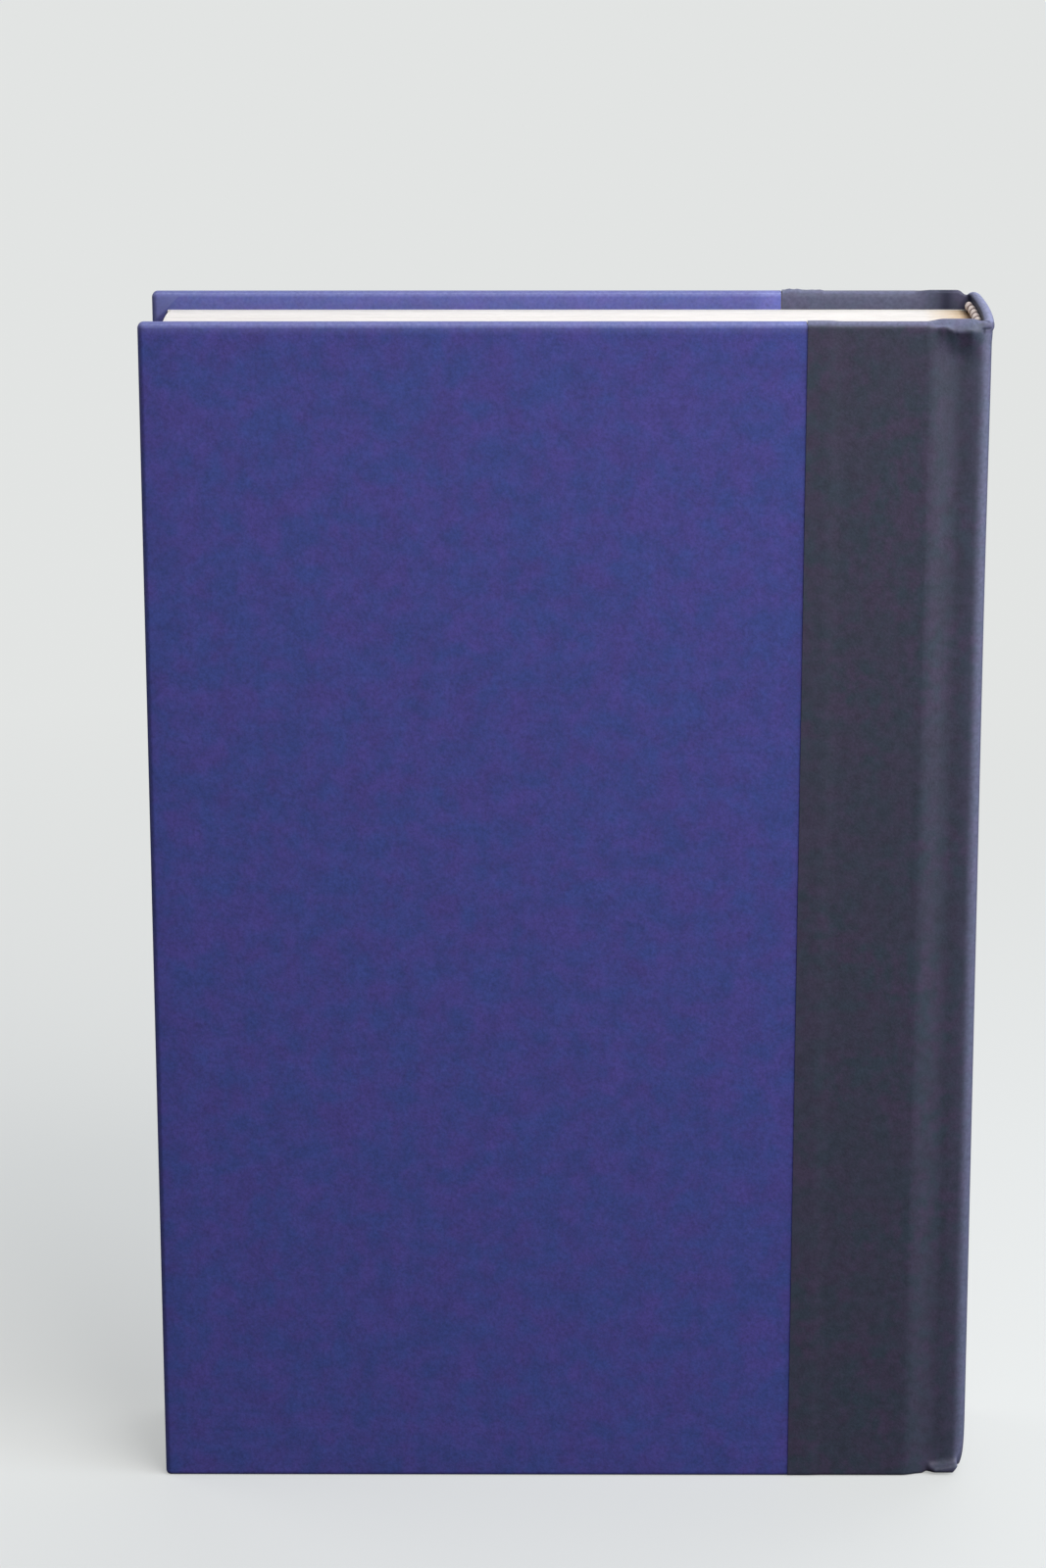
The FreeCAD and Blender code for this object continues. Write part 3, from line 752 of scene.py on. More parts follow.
def board_paper(side):
    """One sheet round the fore edge, head and tail of a board, as five joined grids."""
    low = np.array([0.0, INNER, 0.0])
    high = np.array([SEAMS[side] + PAST_SEAM, FACE, HEAD])
    end = SEAMS[side]
    xs = edge_stops(0.0, end, EDGE_RADIUS, 6.0, round_high=False)
    ys = edge_stops(INNER, FACE, EDGE_RADIUS, 0.4)
    zs = edge_stops(0.0, HEAD, EDGE_RADIUS, 6.0)
    xs = np.unique(np.append(xs, [TURN_IN]))
    zs = np.unique(np.append(zs, [TURN_IN, HEAD - TURN_IN, HEAD - 2.4]))
    points = {}
    order = []

    def number(x, y, z):
        """The number of a point, which is kept only once where two grids meet."""
        key = (round(x, 5), round(y, 5), round(z, 5))
        if key not in points:
            points[key] = len(order)
            order.append(key)
        return points[key]

    faces = []

    def patch(us, vs, at, keep=lambda u, v: True):
        """Faces between two sets of grid lines, wherever there is paper."""
        for first, second in zip(us, us[1:]):
            for low_v, high_v in zip(vs, vs[1:]):
                if keep((first + second) / 2, (low_v + high_v) / 2):
                    faces.append([number(*at(first, low_v)), number(*at(second, low_v)),
                                  number(*at(second, high_v)), number(*at(first, high_v))])

    def on_turn_in(x, z):
        """Whether the paper reaches this place of the board's inside."""
        return x < TURN_IN or z < TURN_IN or z > HEAD - TURN_IN

    patch(np.append(xs, end + LAP), zs, lambda x, z: (x, FACE, z))
    patch(xs, zs, lambda x, z: (x, INNER, z), on_turn_in)
    patch(ys, zs, lambda y, z: (0.0, y, z))
    patch(xs, ys, lambda x, y: (x, y, 0.0))
    patch(xs, ys, lambda x, y: (x, y, HEAD))
    boxed = np.array(order)
    shaped = rounded(boxed, low, high, EDGE_RADIUS)
    # The mark makes the paper paler: a little wear on every rounded edge, a painted highlight along
    # the head, which faces the light from above, and painted light on the whole inner face, for
    # light thrown back by the leaves.
    edge = np.clip(np.linalg.norm(shaped - boxed, axis=1) / (EDGE_GAP * EDGE_RADIUS), 0, 1)
    at_head = smooth_step(shaped[:, 2], HEAD - 1.6, HEAD - 0.3)
    inside = smooth_step(FACE - shaped[:, 1], 2.2, 2.6)
    wear_and_painted_light = np.maximum(edge * (0.15 + 0.6 * at_head), 0.5 * at_head)
    wear_and_painted_light = np.maximum(wear_and_painted_light, 0.22 * inside)
    shaped[:, 2] = flat_foot(shaped[:, 2])
    shaped[:, 1] *= side
    return shaped, faces, wear_and_painted_light


# %% [markdown]
# This sheet has a window in it, so it isn't one grid, and a Solidify modifier gives it its wall.
# That only works when all faces point out of the board. Blender can make neighbouring faces agree,
# and a vote over all of them then tells whether they agreed on the wrong way.

# %% Walls of the blue paper


def face_outwards(mesh, centre):
    """Turns all faces the same way, away from a point inside the shape."""
    shape = bmesh.new()
    shape.from_mesh(mesh)
    bmesh.ops.recalc_face_normals(shape, faces=shape.faces)
    middle = (Vector(centre) + Vector((FORE, 0, 0))) * MM
    votes = sum(face.normal.dot(face.calc_center_median() - middle) * face.calc_area()
                for face in shape.faces)
    if votes < 0:
        bmesh.ops.reverse_faces(shape, faces=shape.faces)
    shape.to_mesh(mesh)
    shape.free()


def solid_sheet(name, points, faces, centre, wear_and_painted_light, thickness):
    """A sheet of any outline, given its wall with a Solidify modifier."""
    piece = mesh_piece(name, points, faces)
    mesh = piece.data
    add_mark(mesh, "wear_and_painted_light", wear_and_painted_light)
    face_outwards(mesh, centre)
    modifier = piece.modifiers.new("wall", "SOLIDIFY")
    modifier.thickness = thickness * MM
    modifier.offset = -1
    graph = bpy.context.evaluated_depsgraph_get()
    piece.data = bpy.data.meshes.new_from_object(piece.evaluated_get(graph))
    piece.modifiers.clear()
    return piece


for side, prefix in SIDE_NAMES.items():
    points, faces, wear_and_painted_light = board_paper(side)
    centre = (SEAMS[side] / 2, side * (INNER + FACE) / 2, HEAD / 2)
    paper = solid_sheet(prefix + "_blue_paper", points, faces, centre, wear_and_painted_light, PAPER_THICK)
    paper.data.materials.clear()
    paper.data.materials.append(BLUE_PAPER)
    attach(paper, prefix + "_cover")
    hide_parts(prefix + "_side_paper")
    print(paper.name, "faces:", len(paper.data.polygons))

# %% [markdown]
# ## The dark strip
#
# One strip of covering runs from board to board over both grooves and the spine, and turns in at
# head and tail. In plan it is one line, so the line is drawn once, with its partner on the
# inside of the case. Then, at each place along it, a cross-section climbs the outside, goes over
# the head and comes down inside. Lofting those sections gives the whole strip as one grid, which
# is only cut where the covers fold.

# %% The strip in plan
BEHIND_BOARD = 15.17
SPINE_CORNER = 164.43
INNER_CORNER = 162.70
INNER_MIDDLE = 163.3
INNER_HALF = 15.6

# Each row is a place on the outside and its partner on the inside, x from the fore edge.
STRIP_PLAN = [
    (132.0, 18.20, 132.0, BEHIND_BOARD),
    (140.0, 18.20, 140.0, BEHIND_BOARD),
    (149.5, 18.20, 149.5, BEHIND_BOARD),
    (151.5, 18.20, 151.5, BEHIND_BOARD),
    (152.3, 18.16, 152.3, BEHIND_BOARD),
    (153.2, 17.98, 153.2, BEHIND_BOARD),
    (154.2, 17.66, 154.2, 15.19),
    (155.2, 17.30, 155.2, 15.22),
    (156.2, 16.96, 156.2, 15.22),
    (157.2, 16.70, 157.2, 15.22),
    (158.2, 16.56, 158.2, 15.22),
    (159.2, 16.53, 159.2, 15.22),
    (160.2, 16.54, 160.2, 15.22),
    (161.1, 16.60, 161.0, 15.26),
    (161.9, 16.62, 161.6, 15.40),
    (162.5, 16.54, 162.0, 15.48),
    (163.1, 16.34, 162.3, 15.44),
    (163.6, 16.04, 162.5, 15.30),
    (164.07, 15.62, 162.6, 15.06),
    (164.33, 15.06, 162.72, 14.76),
]
OUTER_BEND = (SPINE - SPINE_CORNER) / FOLD_DEPTH ** 2
INNER_BEND = (INNER_MIDDLE - INNER_CORNER) / INNER_HALF ** 2


def strip_half(seam):
    """From one seam to the middle of the spine."""
    rows = list(STRIP_PLAN)
    for y in (14.3, 12.5, 10.0, 7.0, 3.5, 0.0):
        rows.append((SPINE - OUTER_BEND * y * y, y, INNER_MIDDLE - INNER_BEND * y * y, y))
    start = smooth_line(rows[:4], 1.2)
    last = len(STRIP_PLAN) - 1
    groove = smooth_line(rows[3:last + 1], 0.22)
    spine = smooth_line(rows[last:], 0.8)
    near_seam = seam + np.array([0.0, 0.12, 0.3, 0.6, 1.0, 1.5, 2.0, 2.5, 3.0])
    near_seam = np.append(near_seam, np.arange(seam + 4.0, 131.5, 1.0))
    lead = np.array([[x, FACE, x, BEHIND_BOARD] for x in near_seam])
    return np.vstack([lead, start[:-1], groove[:-1], spine])


mirrored = strip_half(SEAMS[BACK])[::-1][1:] * np.array([1, -1, 1, -1])
plan = np.vstack([strip_half(SEAMS[FRONT]), mirrored])
print("places along the strip:", len(plan))

# %% [markdown]
# The cross-section has three parts. The outside is a straight climb. The tail and head are
# hems: a half round where two layers lie together, a rounded step where the board or card is
# inside. Over the groove the hem was not pressed in, so it stands out in a lip that slopes up
# and inwards, as on every book of this kind.

# %% Cross-sections of the strip
HEM_POINTS = 50
HEM_REACH = 8.0


def resample(line, count):
    """The same line with new points, closest together in the middle, where the edge is."""
    steps = np.concatenate([[0], np.cumsum(np.linalg.norm(np.diff(line, axis=0), axis=1))])
    even = np.linspace(-1, 1, count)
    wanted = steps[-1] * (0.5 + 0.5 * (0.4 * even + 0.6 * even ** 3))
    return np.stack([np.interp(wanted, steps, line[:, axis]) for axis in (0, 1)], axis=1)


def plain_hem(depth, squash=1.0):
    """From HEM_REACH below the edge outside, over the edge, to HEM_REACH below it inside.
    Each point is how deep it lies behind the outside, and its height against the edge."""
    radius = min(EDGE_RADIUS, 0.5 * depth)
    arc = np.radians(np.linspace(0, 90, 7))
    rise = np.stack([radius - radius * np.cos(arc), squash * radius * (np.sin(arc) - 1)], axis=1)
    fall = np.stack([depth - rise[::-1, 0], rise[::-1, 1]], axis=1)
    line = np.vstack([[0, -HEM_REACH], rise, fall, [depth, -HEM_REACH]])
    return resample(line, HEM_POINTS)


def lip_hem(depth, behind_face, lip_height, crest):
    """The head hem over the groove: from the groove's bottom out to a lip, then up and in."""
    out = -behind_face
    control = [
        (0.0, -HEM_REACH), (out * 0.08, lip_height - 4.6), (out * 0.3, lip_height - 3.1),
        (out * 0.62, lip_height - 1.6), (out * 0.9, lip_height - 0.45),
        (out, lip_height + 0.1), (out + 0.12, lip_height + 0.5),
        (out + 0.7, crest - 0.95), (out + 1.35, crest - 0.4), (out + 1.95, crest - 0.05),
        (out + 2.45, crest - 0.02), (depth - 0.02, crest - 0.5), (depth, crest - 1.2),
        (depth, -HEM_REACH)]
    return resample(smooth_line(control, 0.08), HEM_POINTS)


def cap_hem(depth, behind_face, lip_height):
    """The tail hem over the groove: a fold that bulges out and stands on a rounded edge."""
    out = -0.85 * behind_face
    control = [
        (0.0, -HEM_REACH), (0.0, lip_height - 1.8), (out * 0.35, lip_height - 0.7),
        (out * 0.85, lip_height - 0.1), (out, lip_height + 0.35), (out, -0.85),
        (out + 0.12, -0.4), (out + 0.45, -0.1), (out + 1.0, 0.0), (depth - 0.6, 0.0),
        (depth - 0.1, -0.25), (depth, -0.8), (depth, -HEM_REACH)]
    return resample(smooth_line(control, 0.08), HEM_POINTS)


def hems_at(place):
    """Head and tail hems at one place of the plan."""
    x, y, inner_x, inner_y = place
    depth = math.hypot(inner_x - x, inner_y - y)
    behind_face = FACE - abs(y)
    share = smooth_step(x, 151.4, 155.0) * (1 - smooth_step(x, 160.2, 163.4))
    height = -1.85 + 0.6 * (1 - smooth_step(x, 155.2, 157.2))
    crest = 0.42 if y < 0 else 0.3
    head = plain_hem(depth)
    if share > 0:
        head = head * (1 - share) + share * lip_hem(depth, behind_face, height, crest)
    tail_share = smooth_step(x, 156.4, 158.6) * (1 - smooth_step(x, 162.8, 163.8))
    tail_lip = -1.25 - 0.8 * smooth_step(x, 157.8, 163.2)
    tail = plain_hem(depth, 0.6)
    if tail_share > 0:
        tail = tail * (1 - tail_share) + tail_share * cap_hem(depth, behind_face, tail_lip)
    return head, tail


def tail_rise(x, y):
    """How far the tail edge stands above the table: the cap is short and its corners show wear."""
    groove = 0.5 * smooth_step(x, 155.9, 157.0)
    corner = 0.6 * smooth_step(x, 161.5, 164.4) * smooth_step(abs(y), 12.0, 16.0)
    return groove + corner


def head_rise(x, y):
    """How far the head edge stands off the cover's head, which no hem keeps quite straight."""
    if y < 0:
        return 0.12 * smooth_step(x, 162.5, 164.0) * smooth_step(abs(y), 12.0, 15.0)
    dip = -0.75 * math.exp(-((x - 162.15) / 0.95) ** 2) * smooth_step(y, 14.0, 15.5)
    frays = 0.0
    for place, width in ((126.7, 0.55), (128.0, 0.3), (131.6, 0.5), (133.1, 0.4)):
        frays += 0.22 * math.exp(-((x - place) / width) ** 4)
    return dip + frays


OUTSIDE = np.concatenate([
    np.linspace(HEM_REACH, 11, 4), [15, 20], np.linspace(28, HEAD - 28, 26),
    [HEAD - 20, HEAD - 15], np.linspace(HEAD - 11, HEAD - HEM_REACH, 4)])
INSIDE = np.linspace(TURN_IN, HEM_REACH + 1.5, 4)


def section_at(place):
    """Points (depth behind the outside, height) from the inside of the tail to that of the head."""
    x, y, inner_x, inner_y = place
    depth = math.hypot(inner_x - x, inner_y - y)
    head, tail = hems_at(place)
    rise = tail_rise(x, y)
    lower = [(depth, z) for z in INSIDE]
    tail_line = [(d, -z + rise * np.exp(z / 1.6)) for d, z in tail[::-1]]
    outside = [(0.0, z) for z in OUTSIDE[1:-1]]
    raised = head_rise(x, y)
    head_line = [(d, HEAD + z + raised * np.exp(z / 0.8)) for d, z in head]
    upper = [(depth, HEAD - z) for z in INSIDE[::-1]]
    return np.array(lower + tail_line + outside + head_line + upper)


# %% [markdown]
# A used book is nowhere quite straight. The spine leans out a little towards the tail, the tail
# was pushed in by standing on a shelf, and the head cap flares where it was pinched. Each of these
# is a short formula of the place on the strip, so it can be changed without touching the others.

# %% Lean and wear of the spine


def spine_lean(z):
    """How far the spine stands further out at a height, measured on the photographed book."""
    return 0.46 - 0.0037 * z + 0.32 * np.exp(-((HEAD - z) / 38.0) ** 2)


def worn_corner(z):
    """How far the corners of the tail are pushed in."""
    return 3.4 * np.exp(-z / 1.8)


def worn_middle(z):
    """How far the rest of the tail is pushed in, from long standing on a shelf."""
    return 1.2 * np.exp(-z / 2.4)


def at_spine_corner(y):
    """1 at the corners of the spine, 0 over the rest of it."""
    return smooth_step(np.abs(y), 13.4, 16.0)


def cap_flare(z, y):
    """How far the head cap stands out, most in the middle of the spine."""
    flare = 0.28 * smooth_step(z, HEAD - 2.3, HEAD - 1.5)
    flare += 0.12 * smooth_step(z, HEAD - 5.0, HEAD - 2.5)
    flare *= 1 - 0.25 * smooth_step(z, HEAD - 1.0, HEAD)
    return flare * (1.4 - 0.4 * (y / FOLD_DEPTH) ** 2)


def bell(value, middle, width):
    """1 at the middle, falling away smoothly on both sides."""
    return np.exp(-((value - middle) / width) ** 2)


def creases(x, y, z, outside):
    """Small folds beside the head cap, where the hem meets the spine's corner, and a notch under
    the lip: pushed in a little, with painted shade.
    """
    across = smooth_step(x, 161.9, 162.5) * (1 - smooth_step(x, 163.9, 164.5))
    below = bell(z, 239.55, 0.22) * across
    tick = bell(x, 162.75, 0.2) * bell(z, 239.1, 0.45)
    above = bell(y, -16.0, 0.25) * smooth_step(z, 240.3, 240.8) * across
    notch = bell(x, 157.3, 0.3) * bell(z, 238.75, 0.3)
    return np.clip((below + tick + 0.8 * above + 0.6 * notch) * outside, 0, 1)


# %% [markdown]
# The loft puts each cross-section on its place in the plan and adds the lean and the wear. The
# strip also lies on top of the blue paper, so its lap is raised. Each point gets two marks: painted
# shade inside the case and in the creases, and a faint painted light on the turned-in part over
# the boards.

# %% Loft of the whole strip
STRIP_THICK = 0.22
LAP_HEIGHT = 0.16
SEAM_SLANT = 0.0017
SLANT_MIDDLE = 120


def strip_column(place, section):
    """One cross-section in its place: its points, how far inside they are, and its creases."""
    x, y, inner_x, inner_y = place
    outer = np.array([x, y])
    inner = np.array([inner_x, inner_y])
    share = section[:, :1] / np.linalg.norm(inner - outer)
    spot = outer + (inner - outer) * share
    height = section[:, 1]
    inside = np.clip(share[:, 0], 0, 1)
    lean = spine_lean(height) * smooth_step(x, 152.0, 163.0)
    spot[:, 0] += np.where(lean < 0, lean * (1 - 0.8 * inside), lean)
    seam = SEAMS[FRONT if y > 0 else BACK]
    beside_seam = 1 - smooth_step(x, seam + 2.0, seam + 14.0)
    spot[:, 0] += SEAM_SLANT * (height - SLANT_MIDDLE) * beside_seam
    lap = LAP_HEIGHT * (1 - smooth_step(x, seam + 4.0, seam + 7.0))
    spot[:, 1] += np.sign(y) * lap * (1 - inside)
    on_spine = smooth_step(x, 161.5, 164.2)
    spot[:, 0] -= worn_corner(height) * on_spine * at_spine_corner(y)
    spot[:, 0] -= worn_middle(height) * on_spine * (1 - 0.75 * inside)
    spot[:, 0] += smooth_step(x, 161.5, 164.0) * (1 - inside) * cap_flare(height, y)
    crease = np.zeros_like(height)
    if y < 0:
        crease = creases(spot[:, 0], spot[:, 1], height, 1 - smooth_step(inside, 0.5, 0.7))
    spot[:, 1] += 0.14 * crease
    top = height + lap * smooth_step(height, HEAD - 3, HEAD - 0.5)
    return np.column_stack([spot, top]), inside, crease


def column_marks(place, inside, crease):
    """How much painted light and how much painted shade each point of a cross-section gets."""
    x, y = place[:2]
    # Painted shade inside the case and in the creases: over the groove, and on the far side in two
    # dark bands, in the groove and at the spine's corner. Elsewhere the turned-in part gets a faint
    # painted light.
    hollow_shade = smooth_step(x, 151.5, 155.5)
    within = smooth_step(inside, 0.5, 0.95) if y < 0 else smooth_step(inside, 0.1, 0.6)
    if y > 0:
        hollow_shade = 0.4 * hollow_shade + 0.6 * bell(x, 158.0, 1.5) + 0.6 * smooth_step(x, 162.2, 163.6)
    return 0.22 * within * (1 - hollow_shade), np.maximum(0.9 * within * hollow_shade, crease)


def strip_grid():
    """All cross-sections side by side, with their marks and creases."""
    sections = [section_at(place) for place in plan]
    grid = np.zeros((len(sections[0]), len(plan), 3))
    marks = {mark: np.zeros(grid.shape[:2]) for mark in ("wear_and_painted_light", "shade")}
    creased = np.zeros(grid.shape[:2])
    for index, (place, section) in enumerate(zip(plan, sections)):
        points, inside, crease = strip_column(place, section)
        grid[:, index] = points
        creased[:, index] = crease
        marks["wear_and_painted_light"][:, index], marks["shade"][:, index] = column_marks(place, inside, crease)
    return grid, marks, creased


strip, strip_marks, creased = strip_grid()
strip_normals = grid_normals(strip)
outwards = strip_normals[len(strip) // 2, 3, 1] > 0
if not outwards:
    strip_normals = -strip_normals
strip_inner = strip - STRIP_THICK * strip_normals
print("strip grid:", strip.shape, "outwards", outwards)

# %% [markdown]
# Whatever faces up near the head is painted paler: a painted highlight from the light above, with
# some wear on the upper edges, most of all over the spine. So the mark follows the direction in
# which the strip faces. The lower edge of the lip and the side of the spine get a painted highlight
# too, and the creases are kept out of it.

# %% Painted highlights and wear on the strip's edges
facing_up = smooth_step(strip_normals[:, :, 2], 0.15, 0.85)
facing_up *= smooth_step(strip[:, :, 2], HEAD - 12, HEAD - 6) * 0.9 + 0.1
over_spine = smooth_step(plan[:, 0], 162.3, 163.4)
over_groove = smooth_step(plan[:, 0], 151.0, 154.0)
beside_spine = np.where(plan[:, 1] < 0, 0.5 - 0.1 * over_groove, 0.4 - 0.36 * over_groove)
hem_highlight_and_wear = facing_up * (beside_spine * (1 - over_spine) + 0.92 * over_spine)
# Painted highlights on the lower edge of the near lip and on the near side of the spine.
lip_edge_highlight = 0.25 * bell(strip[:, :, 2], 239.35, 0.3) * bell(plan[:, 0], 158.0, 1.2)
lip_edge_highlight *= plan[:, 1] < 0
spine_side_highlight = 0.28 * smooth_step(plan[:, 0], 161.7, 163.9) * smooth_step(-plan[:, 1], 14.0, 15.2)
spine_side_highlight += 0.06 * smooth_step(plan[:, 0], 159.4, 161.0) * (plan[:, 1] < -14.0)
for worn_and_lit in (hem_highlight_and_wear, lip_edge_highlight, spine_side_highlight):
    strip_marks["wear_and_painted_light"] = np.maximum(strip_marks["wear_and_painted_light"], worn_and_lit)
strip_marks["wear_and_painted_light"] *= 1 - creased
print("most rubbed:", round(float(strip_marks["wear_and_painted_light"].max()), 2))

# %% [markdown]
# ## Cutting the strip where the covers fold
#
# On the real book the covering bends all along the groove when a cover opens. A piece that rides
# one body can't bend, so the strip is cut into five: one piece over the spine, and on each side
# one by the spine and one on the board, which meet in the middle of the groove.

# %% Cut the strip where the covers fold
GROOVE_CUT = 157.15
SHOULDER_CUT = 162.95


def column_near(x, side):
    """The column of the grid nearest to a place on one side."""
    miss = np.abs(plan[:, 0] - x) + 1000 * (plan[:, 1] * side < 0)
    return int(np.argmin(miss))


def strip_piece(name, first, last):
    """The part of the strip between two columns, with its wall, marks and finish."""
    low, high = sorted((first, last))
    columns = slice(low, high + 1)
    marks = {mark: values[:, columns] for mark, values in strip_marks.items()}
    piece = walled_sheet(name, strip[:, columns], strip_inner[:, columns],
                         not outwards, marks, strip_normals[:, columns])
    piece.data.materials.append(DARK_COVERING)
    return piece


for side, prefix in SIDE_NAMES.items():
    seam_column = column_near(SEAMS[side], side)
    groove_column = column_near(GROOVE_CUT, side)
    shoulder_column = column_near(SHOULDER_CUT, side)
    wing = strip_piece(prefix + "_strip_on_board", seam_column, groove_column)
    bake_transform(wing)
    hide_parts(prefix + "_cloth_wing", prefix + "_joint_cloth")
    ledge = strip_piece(prefix + "_strip_in_groove", groove_column, shoulder_column)
    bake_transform(ledge)
    print(wing.name, ledge.name, "columns:", seam_column, groove_column, shoulder_column)

spine = strip_piece("strip_over_spine", column_near(SHOULDER_CUT, FRONT),
                    column_near(SHOULDER_CUT, BACK))
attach(spine, "book_block")
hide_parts("spine_cloth")

# %% [markdown]
# ## Card in the spine
#
# The strip is stiffened by a card almost as tall as the boards. A flat box would poke through the
# covering, because the spine is bent, leans and is worn at the tail. So both faces of the card are
# worked out from the same curve, lean and wear as the strip. Where the covering is turned in at
# head and tail, the inner face stops against the turned-in layer.

# %% Spine card
CARD_THICK = 1.15
CARD_HALF = 14.5
CARD_FOOT = 1.0
BEHIND_COVERING = 0.3
THINNEST = 0.4


def spine_card():
    """The outer and the inner face of the card, each as a grid of points."""
    ys = np.linspace(-CARD_HALF, CARD_HALF, 31)
    zs = np.concatenate([np.linspace(CARD_FOOT, 8, 10), np.linspace(14, HEAD - 8, 24),
                         np.linspace(HEAD - 6, HEAD - 0.7, 6)])
    z, y = np.meshgrid(zs, ys, indexing="ij")
    pushed = worn_corner(z) * at_spine_corner(y)
    rise = np.array([tail_rise(164.3, across) for across in ys])
    outer_x = SPINE - OUTER_BEND * y ** 2 + spine_lean(z) - BEHIND_COVERING
    outer_x -= pushed + worn_middle(z)
    hem_x = INNER_MIDDLE + STRIP_THICK + 0.06 - INNER_BEND * y ** 2
    hem_x += np.maximum(spine_lean(z), 0) + 0.2 * np.minimum(spine_lean(z), 0) - pushed
    hem_x -= 0.25 * worn_middle(z)
    in_hem = (z < TURN_IN + 2) | (z > HEAD - TURN_IN - 2)
    inner_x = np.where(in_hem, hem_x, outer_x - CARD_THICK)
    inner_x = np.minimum(inner_x, outer_x - THINNEST)
    height = z + rise * np.exp(-(z - CARD_FOOT) / 1.6)
    return np.stack([outer_x, y, height], axis=2), np.stack([inner_x, y, height], axis=2)


outer, inner = spine_card()
card = walled_sheet("spine_card", outer, inner, False)
card.data.materials.append(GREYBOARD)
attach(card, "book_block")
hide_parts("spine_inlay")
print("card faces:", len(card.data.polygons))

# %% [markdown]
# ## Endpaper in the joints
#
# Inside each groove the endpaper crosses from the board to the block. In the CAD it is a strip
# with a gap at each fold. Here it is two short sheets that meet in the middle of the groove.

# %% Hinge papers
PASTE = 15.0
PAPER = 0.19
HINGE_FROM = 153.3
HINGE_TO = 160.75


def hinge_paper(name, low, high, side):
    """A sheet of endpaper across part of the groove, in sixteen columns."""
    xs = np.linspace(low, high, 16)
    zs = np.linspace(PAGE_TAIL, PAGE_HEAD, 12)
    outer = np.zeros((len(zs), len(xs), 3))
    outer[:, :, 0] = xs
    outer[:, :, 1] = side * PASTE
    outer[:, :, 2] = zs[:, None]
    inner = outer + np.array([0.0, side * PAPER, 0.0])
    sheet = walled_sheet(name, outer, inner, side > 0)
    sheet.data.materials.append(ENDPAPER)
    return sheet


for side, prefix in SIDE_NAMES.items():
    board_half = hinge_paper(prefix + "_hinge_paper_at_board", HINGE_FROM, GROOVE_CUT, side)
    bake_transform(board_half)
    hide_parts(prefix + "_joint_endpaper")
    block_half = hinge_paper(prefix + "_hinge_paper_at_block", GROOVE_CUT, HINGE_TO, side)
    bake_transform(block_half)
    print(board_half.name, block_half.name)

# %% [markdown]
# ## Parts that keep their CAD shape
#
# Boards, pastedowns, flyleaves, mull and lining are plain sheets whose CAD shape is already
# right. They only need their finish.

# %% Finishes for the CAD parts
CAD_FINISHES = {"board": GREYBOARD, "pastedown": ENDPAPER, "flyleaf": ENDPAPER,
                "lining": KRAFT, "mull": MULL}
for name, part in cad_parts.items():
    if part.hide_render:
        continue
    ending = next(key for key in CAD_FINISHES if key in name)
    part.data.materials.clear()
    part.data.materials.append(CAD_FINISHES[ending])
    print(name, "->", CAD_FINISHES[ending].name)

# %% [markdown]
# ## Floor
#
# The floor is one large pale sheet, which is all the background there is. A plain white plane would
# light the tail of the book too much. So the camera sees an even pale grey, and every other ray
# sees a darker sheet, which keeps the tail a little darker than the head.

# %% Floor


def make_floor():
    """Pale to the camera, darker to the light that the floor gives back to the book."""
    finish = Finish("pale_floor", 0.9, 0.0)
    seen = finish.add("ShaderNodeLightPath", {}).outputs["Is Camera Ray"]
    away = finish.add("ShaderNodeVectorMath", {0: finish.place, 1: (0.0, -FLOOR_MIDDLE, 0.0)},
                      operation="DISTANCE").outputs["Value"]
    far = finish.spread(away, 0.2, 0.6)
    near_colour = finish.mix(far, screen_colour(168, 169, 168), screen_colour(10, 10, 10))
    finish.colour(finish.mix(seen, screen_colour(46, 42, 40), near_colour))
    finish.shader.inputs["Emission Color"].default_value = screen_colour(226, 228, 227)
    glow = finish.sum("MULTIPLY", seen, finish.spread(far, 0.0, 1.0, 0.5, 1.0))
    finish.tree.links.new(glow, finish.shader.inputs["Emission Strength"])
    return finish.material


FLOOR_MIDDLE = 4.0
bpy.ops.mesh.primitive_plane_add(size=14.0, location=(0.0, FLOOR_MIDDLE, 0.0))
floor = bpy.context.object
floor.name = "floor"
floor.data.materials.append(make_floor())

# %% [markdown]
# ## Light
#
# Soft light from all round comes from the world, and more of it in reflections. One large lamp
# stands high on the right in front of the book. Three more light the head, the fore edge and the
# side of the spine, whose covering would be almost black without them.

# %% Light
world = bpy.data.worlds.new("soft_room")
bpy.context.scene.world = world
world.use_nodes = True
sky = world.node_tree.nodes["Background"]
sky.inputs["Color"].default_value = (0.93, 0.96, 1.0, 1.0)
rays = world.node_tree.nodes.new("ShaderNodeLightPath")
level = world.node_tree.nodes.new("ShaderNodeMapRange")
level.inputs["To Min"].default_value = 0.16
level.inputs["To Max"].default_value = 0.5
world.node_tree.links.new(rays.outputs["Is Glossy Ray"], level.inputs["Value"])
world.node_tree.links.new(level.outputs["Result"], sky.inputs["Strength"])


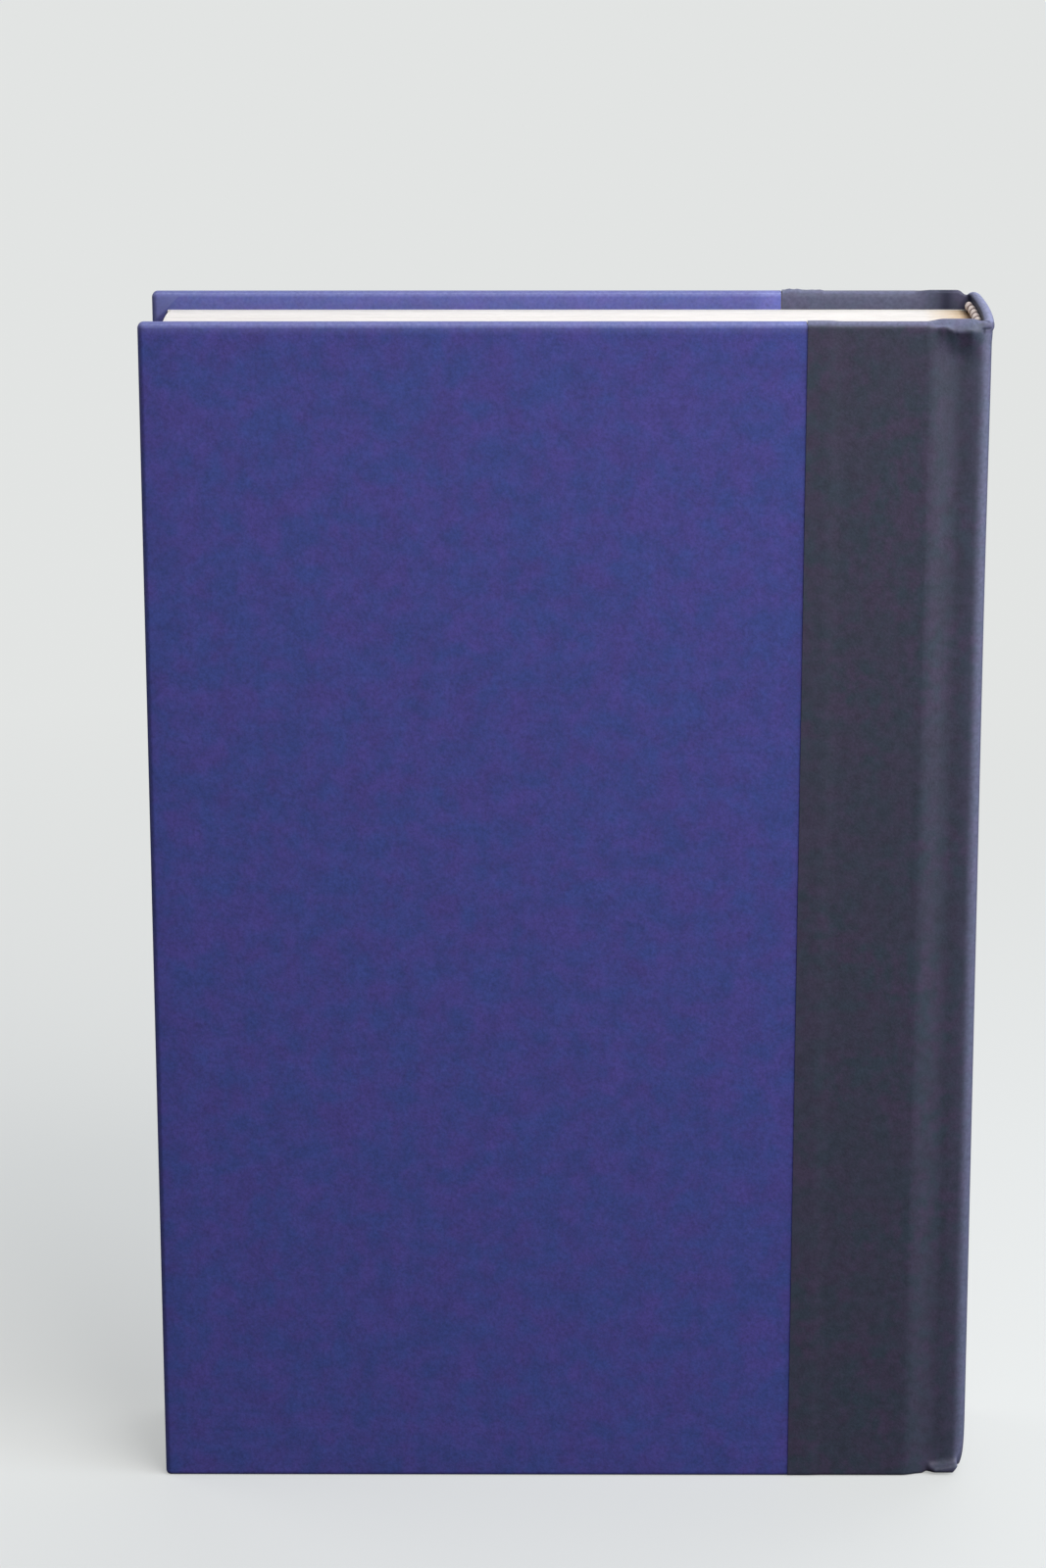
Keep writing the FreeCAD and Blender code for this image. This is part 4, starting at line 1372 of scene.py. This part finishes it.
def lamp(name, place, aim, size, power, colour):
    """A rectangular lamp in a place, turned so that it shines at another one."""
    light = bpy.data.lights.new(name, "AREA")
    light.shape = "RECTANGLE"
    light.size, light.size_y = size
    light.energy = power
    light.color = colour
    holder = bpy.data.objects.new(name, light)
    bpy.context.scene.collection.objects.link(holder)
    towards = Vector(aim) - Vector(place)
    holder.matrix_world = (Matrix.Translation(place)
                           @ towards.to_track_quat("-Z", "Y").to_matrix().to_4x4())


lamp("window", (0.45, -0.65, 0.8), (0.0, 0.0, 0.19), (0.7, 0.7), 8.8, (1.0, 0.99, 0.98))
lamp("ceiling", (0.25, 0.6, 1.1), (0.0, 0.0, 0.2), (0.9, 0.9), 5.0, (0.96, 0.98, 1.0))
lamp("fill", (-1.1, 0.5, 0.7), (0.0, 0.0, 0.12), (0.8, 0.8), 3.5, (0.97, 0.98, 1.0))
lamp("side", (1.05, -0.3, 0.5), (0.08, 0.0, 0.15), (0.5, 0.9), 9.8, (0.86, 0.93, 1.0))

# %% [markdown]
# ## Camera
#
# The camera stands where the one that took the photograph stood. Its place, its three angles and
# its lens were worked out from the straight edges of the covers, which the CAD model also has.

# %% Camera
LENS = 105.03
CAMERA_PLACE = (-2.295, -884.9, 402.57)
CAMERA_PITCH = 0.2847
CAMERA_YAW = -0.0071
CAMERA_ROLL = -0.0015


def camera_axes(pitch, yaw, roll):
    """Right, up and forward directions of the camera that took the photograph."""
    ahead = np.array([math.sin(yaw) * math.cos(pitch), math.cos(yaw) * math.cos(pitch),
                      -math.sin(pitch)])
    right = np.array([math.cos(yaw), -math.sin(yaw), 0.0])
    up = np.cross(right, ahead)
    turned_right = right * math.cos(roll) + up * math.sin(roll)
    turned_up = -right * math.sin(roll) + up * math.cos(roll)
    return turned_right, turned_up, ahead


camera_data = bpy.data.cameras.new("camera")
camera_data.lens = LENS
camera_data.sensor_width = 36.0
camera_data.clip_start = 0.05
camera_data.clip_end = 50.0
camera = bpy.data.objects.new("camera", camera_data)
bpy.context.scene.collection.objects.link(camera)
right, up, ahead = camera_axes(CAMERA_PITCH, CAMERA_YAW, CAMERA_ROLL)
turn = Matrix((right, up, -ahead)).transposed().to_4x4()
camera.matrix_world = Matrix.Translation(Vector(CAMERA_PLACE) * MM) @ turn
bpy.context.scene.camera = camera
bpy.context.scene.view_settings.view_transform = "Standard"
